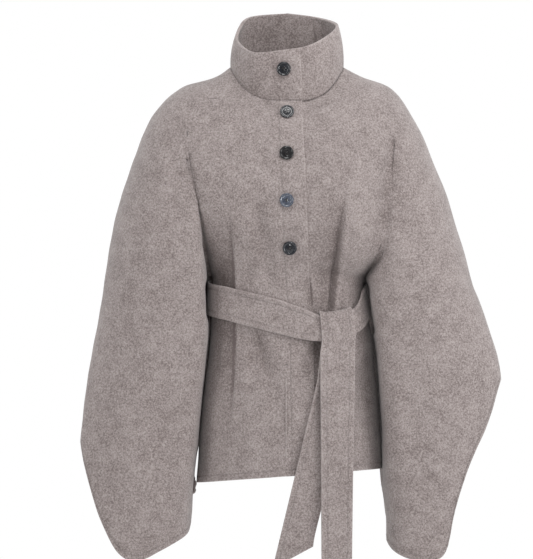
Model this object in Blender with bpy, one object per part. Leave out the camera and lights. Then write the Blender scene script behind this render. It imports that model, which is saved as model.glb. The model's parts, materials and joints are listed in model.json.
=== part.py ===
"""Belted batwing cape in heavy wool, hanging as it does when it is worn.

The coat is one skin that closes round the wearer: a row of it runs round the neck, the next rows
round the shoulders and the chest, and below the underarms it parts into a body and two wide wings.
Two fronts, a back, a stand collar, a belt and five buttons are cut from that skin.
The wearer faces -Y, +X is the wearer's left, and the origin is the middle of the neck.
All sizes below are millimetres.
"""

import math

import bpy
import numpy as np
from mathutils import Vector
from mathutils.bvhtree import BVHTree

MM = 0.001

# Cloth and sewing
CLOTH = 3.0
COLLAR_CLOTH = 5.0
BELT_CLOTH = 4.0
SEAM_GAP = 0.4
LAYER_GAP = 0.9
FOLD_GAP = 4.0

# Closing of the fronts
UNDERLAP = 44.0
PUSH_START = 5.0
PUSH_END = 44.0

# Buttons
BUTTON_RADIUS = 11.5
BUTTON_THICKNESS = 4.2
BUTTON_SEAT = 0.4
BUTTON_RIM = 1.9
BUTTON_DISH = 1.3
BUTTON_HOLE_RADIUS = 1.1
BUTTON_HOLE_OFFSET = 2.0

# Belt
BELT_TIE_GAP = 0.8
BELT_FOLD_BACK = 24.0


def table(columns, *rows):
    """A dictionary of named columns, one number of each for every row."""
    return dict(zip(columns.split(), np.array(rows, float).T))


UNDERARM = 7
CUFF = 11
HEM = 12

# Middle of the front and of the back, from the neck seam down to the underarm.
MIDDLE = table(
    "front_y front_z back_y back_z rise",
    (-76, -42, 66, 20, 3.6),
    (-99, -74, 84, -3, 2.4),
    (-115, -112, 99, -34, 2.0),
    (-127, -154, 110, -84, 2.0),
    (-133, -200, 115, -136, 2.0),
    (-131, -244, 114, -196, 2.0),
    (-121, -286, 107, -258, 2.0),
    (-109, -324, 98, -322, 2.0),
)

# Body below the underarm: belt, hip and hem. Flat is 2 on an oval, more where the front is flatter.
BODY = table(
    "right_x left_x front_y back_y z flat",
    (124, 124, -109, 98, -324, 2.5),
    (123.5, 123, -105, 94, -352, 3.0),
    (124.5, 129, -104, 93, -386, 3.1),
    (127.5, 139, -109, 99, -440, 2.9),
    (139, 148, -119, 112, -545, 2.3),
    (148, 153, -126, 120, -648.5, 2.1),
)
BODY_SIDES = {-1: "right_x", 1: "left_x"}
HEM_TILT = 0.075

# Wings, from the neck seam to the underarm and on to the cuff. Over is the seam along the shoulder
# and arm, fold is the valley between chest and wing, crest is the part that stands out most. Parted
# goes from one oval over chest and wing, 0, to two, round is 2 on an oval and more where the valley
# is steeper, and crisp is 1 on an oval and less where the wing turns more sharply at the valley.
WING_RIGHT = table(
    "over_x over_y over_z fold_x fold_y crest_x crest_y back_y parted round crisp",
    (91.5, 3, 12, 62, -60, 80, -44, 30, 0.0, 1.0, 1.0),
    (120, 3, -5, 92, -70, 108, -50, 44, 0.0, 1.0, 1.0),
    (173, 3, -21, 146, -72, 160, -60, 54, 0.0, 1.0, 1.0),
    (217, 2, -66, 160, -84, 190, -74, 62, 0.2, 1.1, 0.9),
    (247, 0, -130, 147, -95, 190, -99, 72, 0.5, 1.3, 0.6),
    (271, -3, -206, 138, -86, 185, -107, 74, 0.8, 1.6, 0.4),
    (287, -8, -284, 131, -46, 182, -108, 72, 1.0, 2.1, 0.35),
    (298, -13, -344, 124, -4.2, 184, -103, 66, 1.0, 2.5, 0.40),
    (308, -18, -409, 123, 0, 196, -99, 58, 1.0, 3.0, 0.42),
    (318, -24, -471, 133, 0, 212, -97, 48, 1.0, 3.0, 0.46),
    (328, -30, -533, 141, 0, 226, -95, 36, 1.0, 2.8, 0.52),
    (335, -36, -595, 149, 0, 240, -92, 24, 1.0, 2.6, 0.6),
)
WING_LEFT = table(
    "over_x over_y over_z fold_x fold_y crest_x crest_y back_y parted round crisp",
    (91.5, 3, 12, 62, -60, 80, -44, 30, 0.0, 1.0, 1.0),
    (120, 3, -4, 92, -70, 108, -50, 44, 0.0, 1.0, 1.0),
    (167, 3, -22, 146, -66, 158, -56, 54, 0.0, 1.0, 1.0),
    (205, 2, -72, 171, -68, 190, -60, 62, 0.0, 1.0, 1.0),
    (236, 0, -140, 168, -86, 206, -88, 72, 0.12, 1.0, 1.0),
    (263, -3, -212, 160, -96, 210, -105, 76, 0.3, 1.0, 1.0),
    (285, -8, -285, 150, -86, 206, -109, 74, 0.6, 1.2, 1.0),
    (303, -13, -346, 124, -4.2, 202, -108, 68, 1.0, 2.5, 0.7),
    (317, -18, -386, 138, 0, 214, -106, 60, 1.0, 3.0, 0.42),
    (330, -24, -424, 147, 0, 228, -106, 50, 1.0, 3.0, 0.44),
    (341, -30, -460, 152, 0, 238, -104, 38, 1.0, 2.8, 0.5),
    (347, -36, -492, 154, 0, 240, -96, 26, 1.0, 2.6, 0.6),
)
WINGS = {-1: WING_RIGHT, 1: WING_LEFT}
BACK_HEM_LIFT = 5.0
BODY_CLEARANCE = 4.0
BELT_CLEARANCE = 9.6
BACK_TUCK = 64.0
BACK_FOLD_SHARE = 0.9

# Half depth of the skin where body and wing part, with room for a panel on each side. Then how
# many levels the underarm takes to open, the wing's clearance to grow and, above the underarm, its
# back to tuck in behind the body. Last, the heights over which the belt's clearance ends and the
# wing leaves the body's line below the hem.
UNDERARM_HALF = 4.2
OPENING_LEVELS = 0.3
CLEARANCE_LEVELS = 0.2
TUCK_LEVELS = 1.2
BELT_EASE = 24.0
HEM_EASE = 60.0

# Cuff edges in the front view, from the inner corner down to the tip and up to the outer corner.
CUFF_RIGHT = table(
    "x z",
    (153, -700),
    (156, -726),
    (166, -746),
    (207, -771),
    (244, -787),
    (275, -771),
    (300, -724),
    (316, -679),
    (329, -630),
    (335, -595),
)
CUFF_LEFT = table(
    "x z",
    (158, -728),
    (160, -750),
    (173, -770),
    (199, -783),
    (228, -787),
    (256, -771),
    (272, -702),
    (296, -628),
    (326, -560),
    (347, -492),
)
CUFFS = {-1: CUFF_RIGHT, 1: CUFF_LEFT}

# Belt round the waist. The turn is in degrees from the middle front towards the wearer's left, z is
# the middle of the belt, and standoff is what lies between it and the coat.
WAIST_BELT = table(
    "turn z width standoff",
    (-180, -358, 55, 2.2),
    (-120, -358, 55, 2.2),
    (-90, -361, 52, 2.2),
    (-50, -370, 54, 2.2),
    (-25, -381, 55, 2.2),
    (-5, -392, 55, 2.2),
    (13, -404, 50, 4.5),
    (25, -410, 41, 7.0),
    (42, -405, 38, 8.5),
    (54, -396, 39, 8.5),
    (62, -386, 43, 7.0),
    (72, -373, 50, 4.0),
    (85, -367, 51, 2.4),
    (96, -363, 52, 2.2),
    (120, -358, 55, 2.2),
    (180, -358, 55, 2.2),
)
# Where the wings' clearance of the belt ends, below its lowest reach at the sides.
BELT_LOWEST = {-1: -401.0, 1: -424.0}

KNOT_START = 23
KNOT_END = 48.5

# Belt ends where they hang free: both edges in the front view and how far forward each lies.
TIE_OVER = table(
    "left_x left_y left_z right_x right_y right_z",
    (54.3, -122, -452, 109.5, -101, -446),
    (54.8, -126, -510, 109, -105, -506),
    (55.5, -131, -577, 108, -110, -575),
    (56, -136, -648, 106.5, -116, -648),
    (56.7, -137, -782, 105, -118, -770),
    (57, -137, -826, 104.5, -118, -800),
)
TIE_UNDER = table(
    "left_x left_y left_z right_x right_y right_z",
    (50, -117, -494, 106, -93, -490),
    (30, -127, -577, 90, -107, -566),
    (10, -134, -660, 70, -122, -645),
    (-13.5, -134, -757, 47, -125, -735),
    (-23, -134, -797, 42, -125, -762),
)

# Edge of the upper front, which lies on the left front: x at heights down the coat.
CLOSING_EDGE = table(
    "z x",
    (-648, 47),
    (-400, 43),
    (-318, 35.6),
    (-190, 31),
    (-73, 25.6),
    (-24, 24.3),
    (60, 24.3),
)

# Folds pressed into the body by the belt, top and bottom ends. The cloth drops by depth on the
# side that lean names: -1 towards the wearer's right, 1 towards the left, 0 both sides alike. Bow is
# how far the line bulges to the wearer's left in its middle.
FOLD_START = 0.3
FOLD_END = 0.45
FOLD_STEEP = 0.4
FOLD_SLOW = 1.6
FRONT_FOLDS = table(
    "top_x top_z bottom_x bottom_z bow depth width lean",
    (-97, -205, -97, -610, 9, 10.0, 17, -1),
    (-54, -190, -28, -350, 0, 5.0, 17, 0),
    (-58, -396, -30, -520, -3, 5.0, 17, 0),
    (98.5, -150, 54, -560, 0, 13.0, 19, -1),
    (124, -440, 128, -600, 0, 5.0, 16, 0),
    (120, -110, 104, -360, 3, -5.0, 13, 0),
    (175, -70, 138, -345, 4, 8.5, 13, 0),
)
BACK_FOLDS = table(
    "top_x top_z bottom_x bottom_z bow depth width lean",
    (-88, -230, -76, -580, 0, 7.0, 18, -1),
    (-34, -255, -28, -520, 0, 5.0, 20, 0),
    (26, -245, 22, -540, 0, 6.0, 19, 1),
    (84, -225, 74, -590, 0, 7.0, 18, 1),
)

# Collar: the seam at its foot runs on the neck, its rim is given at eight places round the neck.
# The turn is in degrees from the middle front towards the wearer's left.
COLLAR_RIM = table(
    "turn x y z",
    (-180, 2, 70, 102),
    (-135, -60, 52, 96),
    (-100, -79, 22, 78),
    (-72, -81, -20, 56),
    (-38, -54, -68, 37),
    (0, 0, -80, 41.5),
    (30, 36, -72, 48),
    (70, 73, -36, 69),
    (98, 82, 0, 84),
    (138, 52, 53, 95),
    (180, 2, 70, 102),
)
COLLAR_EDGE_TURN = 16.0
COLLAR_UNDER_TURN = -14.0
COLLAR_EASE = 28.0
COLLAR_BOW = 3.2
COLLAR_LIFT = 0.7
COLLAR_UNDER_DROP = 1.8

# Buttons down the middle front: the first is on the collar.
BUTTONS = table(
    "x z",
    (-5.2, 9.0),
    (0, -61.5),
    (-0.8, -127.5),
    (-0.6, -203.5),
    (4.2, -280.3),
)

# Grid of the solids. Turn end keeps a panel's last column on its own side of a seam or fold.
TURN_END = 0.0001
UPPER_ROWS = np.array([0, 0.5, 1, 1.5, 2, 2.6, 3.2, 3.8, 4.4, 5, 5.5, 6, 6.5, 7])
BODY_ROWS = np.array([7.3, 7.7, 8.4, 9, 9.5, 10, 10.5, 11, 11.5, 12])
WING_ROWS = np.array([7.1, 7.3, 7.7, 8.2, 8.8, 9.4, 10, 10.4, 10.75, 11])
TORSO_COLUMNS = 15
REACH_COLUMNS = 3
INNER_COLUMNS = 6
OUTER_COLUMNS = 6
BACK_TORSO_COLUMNS = 10
BACK_INNER_COLUMNS = 5
BACK_OUTER_COLUMNS = 5
COLLAR_COLUMNS = 40
COLLAR_ROWS = 6
BELT_COLUMNS = 60
BELT_ROWS = 4
TIE_COLUMNS = 4
TIE_ROWS = 12
BUTTON_SIDES = 24
HOLE_SIDES = 8


def along(column, at):
    """Smooth curve through the numbers of a column, read at fractional row numbers."""
    count = len(column)
    at = np.clip(np.asarray(at, float), 0, count - 1)
    low = np.minimum(np.floor(at).astype(int), count - 2)
    t = at - low
    before = column[np.maximum(low - 1, 0)]
    start = column[low]
    end = column[low + 1]
    after = column[np.minimum(low + 2, count - 1)]
    slope_in = (end - before) / 2
    slope_out = (after - start) / 2
    rest = end - start
    return (
        start
        + slope_in * t
        + (3 * rest - 2 * slope_in - slope_out) * t**2
        + (slope_in + slope_out - 2 * rest) * t**3
    )


def ease(t):
    """Smooth step from 0 to 1."""
    t = np.clip(t, 0, 1)
    return t * t * (3 - 2 * t)


def stack(x, y, z):
    return np.stack(np.broadcast_arrays(x, y, z), axis=-1)


def wing_marks(side, level):
    return {name: along(column, level) for name, column in WINGS[side].items()}


def outer_quarter(marks, front_turn, crest_y):
    """x and y on a quarter oval from the crest, at 2, to the over seam, at 3."""
    angle = np.clip(front_turn - 2, 0, 1) * math.pi / 2
    x = marks["crest_x"] + (marks["over_x"] - marks["crest_x"]) * np.sin(angle)
    y = marks["over_y"] + (crest_y - marks["over_y"]) * np.cos(angle)
    return x, y


def skin(side, level, turn):
    """The coat above the underarm. turn runs 0 to 1 on the chest, 1 to 3 on the wing's front, 3 to
    5 on its back and 5 to 6 on the back. Chest and wing are quarter ovals that meet in the fold."""
    behind = turn > 3
    front_turn = np.where(behind, 6 - turn, turn)
    marks = wing_marks(side, level)
    middle = {name: along(column, level) for name, column in MIDDLE.items()}
    middle_y = np.where(behind, middle["back_y"], middle["front_y"])
    middle_z = np.where(behind, middle["back_z"], middle["front_z"])
    crest_y = np.where(behind, marks["back_y"], marks["crest_y"])
    back_fold_y = np.maximum(UNDERARM_HALF, -marks["fold_y"] * BACK_FOLD_SHARE)
    fold_y = np.where(behind, back_fold_y, marks["fold_y"])
    chest = np.clip(front_turn, 0, 1) * math.pi / 2
    chest_x = marks["fold_x"] * np.sin(chest)
    chest_y = fold_y + (middle_y - fold_y) * np.cos(chest) ** (2 / marks["round"])
    inner = np.clip(front_turn - 1, 0, 1) * math.pi / 2
    valley_x = marks["fold_x"] + FOLD_GAP
    inner_y = fold_y + (crest_y - fold_y) * np.sin(inner) ** (2 / marks["round"])
    tucked = np.where(behind, ease((level - UNDERARM) / TUCK_LEVELS + 1), 0)
    edge_x = valley_x - BACK_TUCK * tucked * np.sin(inner)
    inner_x = marks["crest_x"] + (edge_x - marks["crest_x"]) * np.cos(inner) ** marks["crisp"]
    reach = np.clip((inner_y - fold_y) / (middle_y - fold_y), 0, 1) ** marks["round"]
    least_x = marks["fold_x"] * np.sqrt(1 - reach) + FOLD_GAP
    inner_x = inner_x + (np.maximum(inner_x, least_x) - inner_x) * tucked
    outer_x, outer_y = outer_quarter(marks, front_turn, crest_y)
    x = np.where(front_turn <= 1, chest_x, np.where(front_turn < 2, inner_x, outer_x))
    y = np.where(front_turn <= 1, chest_y, np.where(front_turn < 2, inner_y, outer_y))
    share = np.clip(x / marks["over_x"], 0, 1)
    oval_y = marks["over_y"] + (middle_y - marks["over_y"]) * np.sqrt(1 - share**2)
    y = oval_y + (y - oval_y) * marks["parted"]
    z = middle_z + (marks["over_z"] - middle_z) * share ** middle["rise"]
    return stack(side * x, y, z)


def body(side, level, turn):
    """The body below the underarm: a half oval from the middle front, turn 0, to the back, 2."""
    row = {name: along(column, level - UNDERARM) for name, column in BODY.items()}
    behind = turn > 1
    quarter = np.where(behind, 2 - turn, turn) * math.pi / 2
    middle_y = np.where(behind, row["back_y"], row["front_y"])
    opening = UNDERARM_HALF * np.clip(1 - (level - UNDERARM) / OPENING_LEVELS, 0, 1)
    side_y = np.where(behind, opening, -opening)
    x = row[BODY_SIDES[side]] * np.sin(quarter)
    y = side_y + (middle_y - side_y) * np.cos(quarter) ** (2 / row["flat"])
    tilt = HEM_TILT * np.clip((level - UNDERARM) / (HEM - UNDERARM), 0, 1) ** 2
    over_x, over_z = (WINGS[side][name][UNDERARM] for name in ("over_x", "over_z"))
    drop = (over_z - BODY["z"][0]) * (x / over_x) ** MIDDLE["rise"][UNDERARM]
    z = row["z"] + drop * (1 - ease(level - UNDERARM))
    return stack(side * x, y, z + tilt * side * x)


def cuff_height(side, share):
    """Height of the cuff's edge at a share of its width, read off the edge's own points."""
    edge = CUFFS[side]
    fine = np.linspace(0, len(edge["x"]) - 1, 200)
    x = along(edge["x"], fine)
    z = along(edge["z"], fine)
    order = np.argsort(x)
    return np.interp(edge["x"][0] + share * (edge["x"][-1] - edge["x"][0]), x[order], z[order])


def body_reach(side, y, z):
    """Half width of the body at a depth and a height."""
    row = {name: along(column, level_at(z) - UNDERARM) for name, column in BODY.items()}
    deepest = np.where(y > 0, row["back_y"], row["front_y"])
    share = np.clip(y / deepest, 0, 1) ** row["flat"]
    return row[BODY_SIDES[side]] * np.sqrt(1 - share)


def wing(side, level, turn):
    """The wing below the underarm. turn runs 1 to 3 on its front and 3 to 5 on its back. Its rows
    ease from the level of the underarm to the line of the cuff, and its inner side lies along the
    body, clear of it and of the belt."""
    turn = np.where(turn < 1, turn + 4, np.where(turn > 5, turn - 4, turn))
    behind = turn > 3
    front_turn = np.where(behind, 6 - turn, turn)
    marks = wing_marks(side, level)
    crest_y = np.where(behind, marks["back_y"], marks["crest_y"])
    down = (level - UNDERARM) / (CUFF - UNDERARM)
    top_z = skin(side, np.full_like(level, UNDERARM), turn)[..., 2]
    edge_z = MIDDLE["front_z"][-1] + (CUFFS[side]["z"][0] - MIDDLE["front_z"][-1]) * down
    past_belt = ease((edge_z - BELT_LOWEST[side]) / BELT_EASE)
    clear = BODY_CLEARANCE + BELT_CLEARANCE * past_belt * ease((level - UNDERARM) / CLEARANCE_LEVELS)
    parting = np.clip((level - UNDERARM) / OPENING_LEVELS, 0, 1)
    start_y = np.where(behind, 1, -1) * UNDERARM_HALF * (1 - parting)
    inner = np.clip(front_turn - 1, 0, 1) * math.pi / 2
    inner_y = start_y + (crest_y - start_y) * np.sin(inner) ** (2 / marks["round"])
    depth = np.clip(inner_y / crest_y, 0, 1)
    front_x = marks["fold_x"] + FOLD_GAP
    past_hem = ease((BODY["z"][-1] - edge_z) / HEM_EASE)
    seam_x = body_reach(side, 0, edge_z) + clear
    seam_x = seam_x + (front_x + BODY_CLEARANCE - seam_x) * past_hem
    tuck = BACK_TUCK * (1 - past_hem)
    edge_x = np.where(behind, seam_x - tuck * np.sin(inner), seam_x + (front_x - seam_x) * depth)
    inner_x = marks["crest_x"] + (edge_x - marks["crest_x"]) * np.cos(inner) ** marks["crisp"]
    least_x = body_reach(side, inner_y, edge_z) + clear
    inner_x = np.maximum(inner_x, least_x + (front_x - least_x) * past_hem)
    outer_x, outer_y = outer_quarter(marks, front_turn, crest_y)
    on_inner = front_turn < 2
    x = np.where(on_inner, inner_x, outer_x)
    y = np.where(on_inner, inner_y, outer_y)
    share = np.clip((x - front_x) / (marks["over_x"] - front_x), 0, 1)
    lift = BACK_HEM_LIFT * np.sin(np.clip(turn - 3, 0, 2) * math.pi / 2)
    low_z = cuff_height(side, share) + lift
    return stack(side * x, y, top_z + (low_z - top_z) * down)


def normals(surface, side, level, turn):
    """Unit normals that point out of the coat, from small steps along the surface."""
    step = 0.02
    round_it = surface(side, level, turn + step) - surface(side, level, turn - step)
    down = surface(side, level + step, turn) - surface(side, level - step, turn)
    normal = np.cross(down, round_it) * side
    length = np.linalg.norm(normal, axis=-1, keepdims=True)
    return normal / np.maximum(length, 1e-9)


def fold_depth(points, folds):
    """How far folds push the cloth in: a trough round each line from its top to its bottom. A fold
    that leans is steep on one side and slow on the other."""
    depth = np.zeros(points.shape[:-1])
    for i in range(len(folds["depth"])):
        fold = {name: column[i] for name, column in folds.items()}
        drop = (fold["top_z"] - points[..., 2]) / (fold["top_z"] - fold["bottom_z"])
        middle = np.clip(drop, 0, 1)
        line_x = fold["top_x"] + (fold["bottom_x"] - fold["top_x"]) * drop
        line_x = line_x + fold["bow"] * 4 * middle * (1 - middle)
        off = (points[..., 0] - line_x) / fold["width"]
        fade = ease(drop / FOLD_START) * ease((1 - drop) / FOLD_END)
        steep = FOLD_STEEP if fold["lean"] else 1.0
        wide = np.where(off * fold["lean"] > 0, FOLD_SLOW, steep)
        depth += fold["depth"] * fade * np.exp(-((off / wide) ** 2))
    return depth


def closing_x(z):
    """How far the upper front reaches past the middle at a height."""
    return np.interp(z, CLOSING_EDGE["z"], CLOSING_EDGE["x"])


def closing_turn(surface, level):
    """turn of the upper front's edge on the wearer's left side, where x is the edge's own."""
    guess = np.full_like(level, 0.2)
    for _ in range(6):
        point = surface(1, level, guess)
        wide = surface(1, level, np.ones_like(level))[..., 0]
        edge = closing_x(point[..., 2])
        guess = np.arcsin(np.clip(edge / wide, 0, 1)) * 2 / math.pi
    return guess


def grid_faces(index):
    """Quads between neighbouring rows and columns of a grid of point numbers."""
    corners = (index[:-1, :-1], index[1:, :-1], index[1:, 1:], index[:-1, 1:])
    return np.stack([c.ravel() for c in corners], axis=1)


def mesh_object(name, points, faces, finish):
    mesh = bpy.data.meshes.new(name)
    mesh.from_pydata((points * MM).tolist(), [], [list(map(int, f)) for f in faces])
    mesh.shade_smooth()
    mesh.set_sharp_from_angle(angle=math.radians(50))
    mesh.materials.append(finish)
    placed = bpy.data.objects.new(name, mesh)
    bpy.context.scene.collection.objects.link(placed)
    return placed


def wall(name, outer, inner, faces, finish):
    """Closed wall between two layers of the same grid, with a rim along every free edge."""
    a, b, c = (outer[faces[:, k]] for k in (0, 1, 2))
    outward = (outer - inner)[faces[:, 0]]
    if np.einsum("ij,ij->i", np.cross(b - a, c - a), outward).sum() < 0:
        faces = faces[:, ::-1]
    edges = np.concatenate([faces[:, [k, (k + 1) % 4]] for k in range(4)])
    key = np.sort(edges, axis=1)
    _, first, count = np.unique(key, axis=0, return_index=True, return_counts=True)
    free = edges[first[count == 1]]
    shift = len(outer)
    rim = np.stack([free[:, 1], free[:, 0], free[:, 0] + shift, free[:, 1] + shift], axis=1)
    every = np.concatenate([faces, faces[:, ::-1] + shift, rim])
    return mesh_object(name, np.concatenate([outer, inner]), every, finish)


class Panel:
    """One cut piece of the coat: grids that share points, with a normal at each point."""

    def __init__(self):
        self.points = []
        self.normals = []
        self.faces = []
        self.count = 0

    def add(self, points, normal):
        index = self.count + np.arange(points.shape[0] * points.shape[1])
        self.points.append(points.reshape(-1, 3))
        self.normals.append(normal.reshape(-1, 3))
        self.count += len(index)
        return index.reshape(points.shape[:2])

    def join(self, index):
        self.faces.append(grid_faces(index))

    def arrays(self):
        faces = np.concatenate(self.faces)
        return np.concatenate(self.points), np.concatenate(self.normals), faces


def patch(surface, side, rows, turns):
    """Points and normals of a grid. turns is one value a column, or one row of them a row."""
    level = np.broadcast_to(rows[:, None], (len(rows), np.shape(turns)[-1])).astype(float)
    turn = np.broadcast_to(turns, level.shape).astype(float)
    return surface(side, level, turn), normals(surface, side, level, turn)


def trim_seam(points, column):
    """Moves one edge column half a seam gap into its own panel, square to the seam."""
    edge = points[:, column]
    inside = (points[:, 1] if column == 0 else points[:, -2]) - edge
    seam = np.gradient(edge, axis=0)
    seam /= np.maximum(np.linalg.norm(seam, axis=-1, keepdims=True), 1e-9)
    inside = inside - seam * np.sum(inside * seam, axis=-1, keepdims=True)
    inside /= np.maximum(np.linalg.norm(inside, axis=-1, keepdims=True), 1e-9)
    points[:, column] = edge + inside * SEAM_GAP / 2


def spaced(start, end, count):
    return np.linspace(start, end, count + 1)


def front_panel(side):
    """The front on one side, cut in one with its wing's front. The right one runs past the middle
    as the upper layer, and the left one runs under it."""
    panel = Panel()
    chest = spaced(0, 1, TORSO_COLUMNS)
    wing_turns = np.concatenate(
        [spaced(1 + TURN_END, 2, INNER_COLUMNS), spaced(2, 3, OUTER_COLUMNS)[1:]]
    )
    reach = np.linspace(1, 0, REACH_COLUMNS + 1)[:-1]

    def half(surface, rows):
        """Chest columns of one half, led by the columns that reach past the middle."""
        edge = closing_turn(surface, rows)
        if side > 0:
            wide = surface(-1, rows, np.ones_like(rows))[..., 0]
            under_x = closing_x(surface(1, rows, edge)[..., 2]) - UNDERLAP
            edge = np.arcsin(np.clip(under_x / wide, 0, 1)) * 2 / math.pi
        past, past_normal = patch(surface, -side, rows, edge[:, None] * reach[None, :])
        own, own_normal = patch(surface, side, rows, chest)
        return np.concatenate([past, own], 1), np.concatenate([past_normal, own_normal], 1)

    upper, upper_normal = half(skin, UPPER_ROWS)
    wing_top, wing_top_normal = patch(skin, side, UPPER_ROWS, wing_turns)
    trim_seam(wing_top, -1)
    top = panel.add(
        np.concatenate([upper, wing_top], 1), np.concatenate([upper_normal, wing_top_normal], 1)
    )
    low, low_normal = half(body, BODY_ROWS)
    trim_seam(low, -1)
    low_index = panel.add(low, low_normal)
    leg, leg_normal = patch(wing, side, WING_ROWS, wing_turns)
    trim_seam(leg, 0)
    trim_seam(leg, -1)
    leg_index = panel.add(leg, leg_normal)
    split = low.shape[1]
    panel.join(top)
    panel.join(np.vstack([top[-1:, :split], low_index]))
    panel.join(np.vstack([top[-1:, split:], leg_index]))
    return panel


def back_panel():
    """The back, cut in one with the backs of both wings."""
    panel = Panel()
    wing_turns = np.concatenate(
        [spaced(3 + TURN_END, 4, BACK_OUTER_COLUMNS), spaced(4, 5 - TURN_END, BACK_INNER_COLUMNS)[1:]]
    )
    back_turns = spaced(5, 6, BACK_TORSO_COLUMNS)

    def both(surface, rows, turns):
        right, right_normal = patch(surface, -1, rows, turns)
        left, left_normal = patch(surface, 1, rows, turns)
        return (right, right_normal), (left[:, ::-1], left_normal[:, ::-1])

    wings_top = both(skin, UPPER_ROWS, wing_turns)
    backs_top = both(skin, UPPER_ROWS, back_turns)
    pieces = [wings_top[0], backs_top[0], (backs_top[1][0][:, 1:], backs_top[1][1][:, 1:]), wings_top[1]]
    points = np.concatenate([p for p, _ in pieces], 1)
    normal = np.concatenate([n for _, n in pieces], 1)
    trim_seam(points, 0)
    trim_seam(points, -1)
    top = panel.add(points, normal)
    panel.join(top)
    wide = len(wing_turns)
    torso = 2 * len(back_turns) - 1

    lows = both(body, BODY_ROWS, back_turns - 4)
    low = np.concatenate([lows[0][0], lows[1][0][:, 1:]], 1)
    low_normal = np.concatenate([lows[0][1], lows[1][1][:, 1:]], 1)
    trim_seam(low, 0)
    trim_seam(low, -1)
    low_index = panel.add(low, low_normal)
    panel.join(np.vstack([top[-1:, wide : wide + torso], low_index]))

    legs = both(wing, WING_ROWS, wing_turns)
    for leg, (start, end) in zip(legs, ((0, wide), (wide + torso, 2 * wide + torso))):
        leg_points, leg_normal = leg
        trim_seam(leg_points, 0)
        trim_seam(leg_points, -1)
        leg_index = panel.add(leg_points, leg_normal)
        panel.join(np.vstack([top[-1:, start:end], leg_index]))
    return panel


def pushed_under(points):
    """Depth that the left front sinks under the right front's edge, easing out past it."""
    past_edge = points[..., 0] - closing_x(points[..., 2])
    share = 1 - ease((past_edge - PUSH_START) / (PUSH_END - PUSH_START))
    return (CLOTH + LAYER_GAP) * share


def build_front(side, finish):
    points, normal, faces = front_panel(side).arrays()
    inward = fold_depth(points, FRONT_FOLDS)
    if side > 0:
        inward = inward + pushed_under(points)
    outer = points - normal * inward[:, None]
    name = "front_left" if side > 0 else "front_right"
    return wall(name, outer, outer - normal * CLOTH, faces, finish)


def build_back(finish):
    points, normal, faces = back_panel().arrays()
    outer = points - normal * fold_depth(points, BACK_FOLDS)[:, None]
    return wall("back", outer, outer - normal * CLOTH, faces, finish)


def angled(column, turn, table_of):
    """Smooth value of a column at turns in degrees, where the rows go once round."""
    rows = np.interp(turn, table_of["turn"], np.arange(len(table_of["turn"])))
    return along(table_of[column], rows)


def wrapped(turn):
    """The same turn in the range from -180 to 180."""
    return (turn + 180) % 360 - 180


def neck(turn):
    """The neck seam at turns in degrees from the middle front towards the wearer's left."""
    middle = {name: column[0] for name, column in MIDDLE.items()}
    over = {name: column[0] for name, column in WING_RIGHT.items()}
    angle = np.radians(turn)
    in_front = np.cos(angle) > 0
    middle_y = np.where(in_front, middle["front_y"], middle["back_y"])
    middle_z = np.where(in_front, middle["front_z"], middle["back_z"])
    x = over["over_x"] * np.sin(angle)
    y = middle_y * np.abs(np.cos(angle))
    z = middle_z + (over["over_z"] - middle_z) * np.abs(np.sin(angle)) ** middle["rise"]
    return stack(x, y, z)


def grid_normals(points, outward):
    """Unit normals of a grid of points, on the side that outward points to."""
    normal = np.cross(np.gradient(points, axis=0), np.gradient(points, axis=1))
    normal /= np.maximum(np.linalg.norm(normal, axis=-1, keepdims=True), 1e-9)
    flip = np.sign(np.einsum("ijk,ijk->", normal, outward))
    return normal * flip


def grid_index(points):
    return np.arange(points.shape[0] * points.shape[1]).reshape(points.shape[:2])


def build_collar(finish):
    """A strip that climbs from the neck seam to its rim. It starts on top at the upper front's
    edge, runs round the neck and ends under its own start."""
    turn = COLLAR_EDGE_TURN - np.linspace(0, 1, COLLAR_COLUMNS) * (
        360 + COLLAR_EDGE_TURN - COLLAR_UNDER_TURN
    )
    round_neck = wrapped(turn)
    foot = neck(round_neck)
    rim = stack(*(angled(name, round_neck, COLLAR_RIM) for name in "xyz"))
    height = np.linspace(0, 1, COLLAR_ROWS)[:, None, None]
    points = foot + (rim - foot) * height
    away = stack(np.sin(np.radians(round_neck)), -np.cos(np.radians(round_neck)), 0 * turn)
    points = points + away * COLLAR_BOW * 4 * height * (1 - height)
    under = ease((-turn - 360 + COLLAR_EDGE_TURN + COLLAR_EASE) / COLLAR_EASE)[None, :, None]
    points = points - away * (COLLAR_CLOTH + LAYER_GAP) * under
    points[..., 2] += COLLAR_LIFT - COLLAR_UNDER_DROP * (under * (1 - height))[..., 0]
    away = np.broadcast_to(away, points.shape)
    inner = points - grid_normals(points, away) * COLLAR_CLOTH
    inner[0, :, 2] = points[0, :, 2]
    faces = grid_faces(grid_index(points))
    return wall("collar", points.reshape(-1, 3), inner.reshape(-1, 3), faces, finish)


def level_at(z):
    """Level of the body at a height."""
    fine = np.linspace(UNDERARM, HEM, 400)
    return np.interp(-z, -along(BODY["z"], fine - UNDERARM), fine)


def waist(turn, z):
    """Point on the body at a turn in degrees and a height, and the level outward direction."""
    level = level_at(z)

    def at(turned):
        turned = wrapped(turned)
        quarters = np.abs(turned) / 90
        right = body(-1, level, quarters)
        left = body(1, level, quarters)
        return np.where(turned[..., None] < 0, right, left)

    step = at(turn + 1) - at(turn - 1)
    outward = stack(step[..., 1], -step[..., 0], 0 * turn)
    outward /= np.linalg.norm(outward, axis=-1, keepdims=True)
    point = at(turn)
    point[..., 2] = z
    return point, outward


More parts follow.
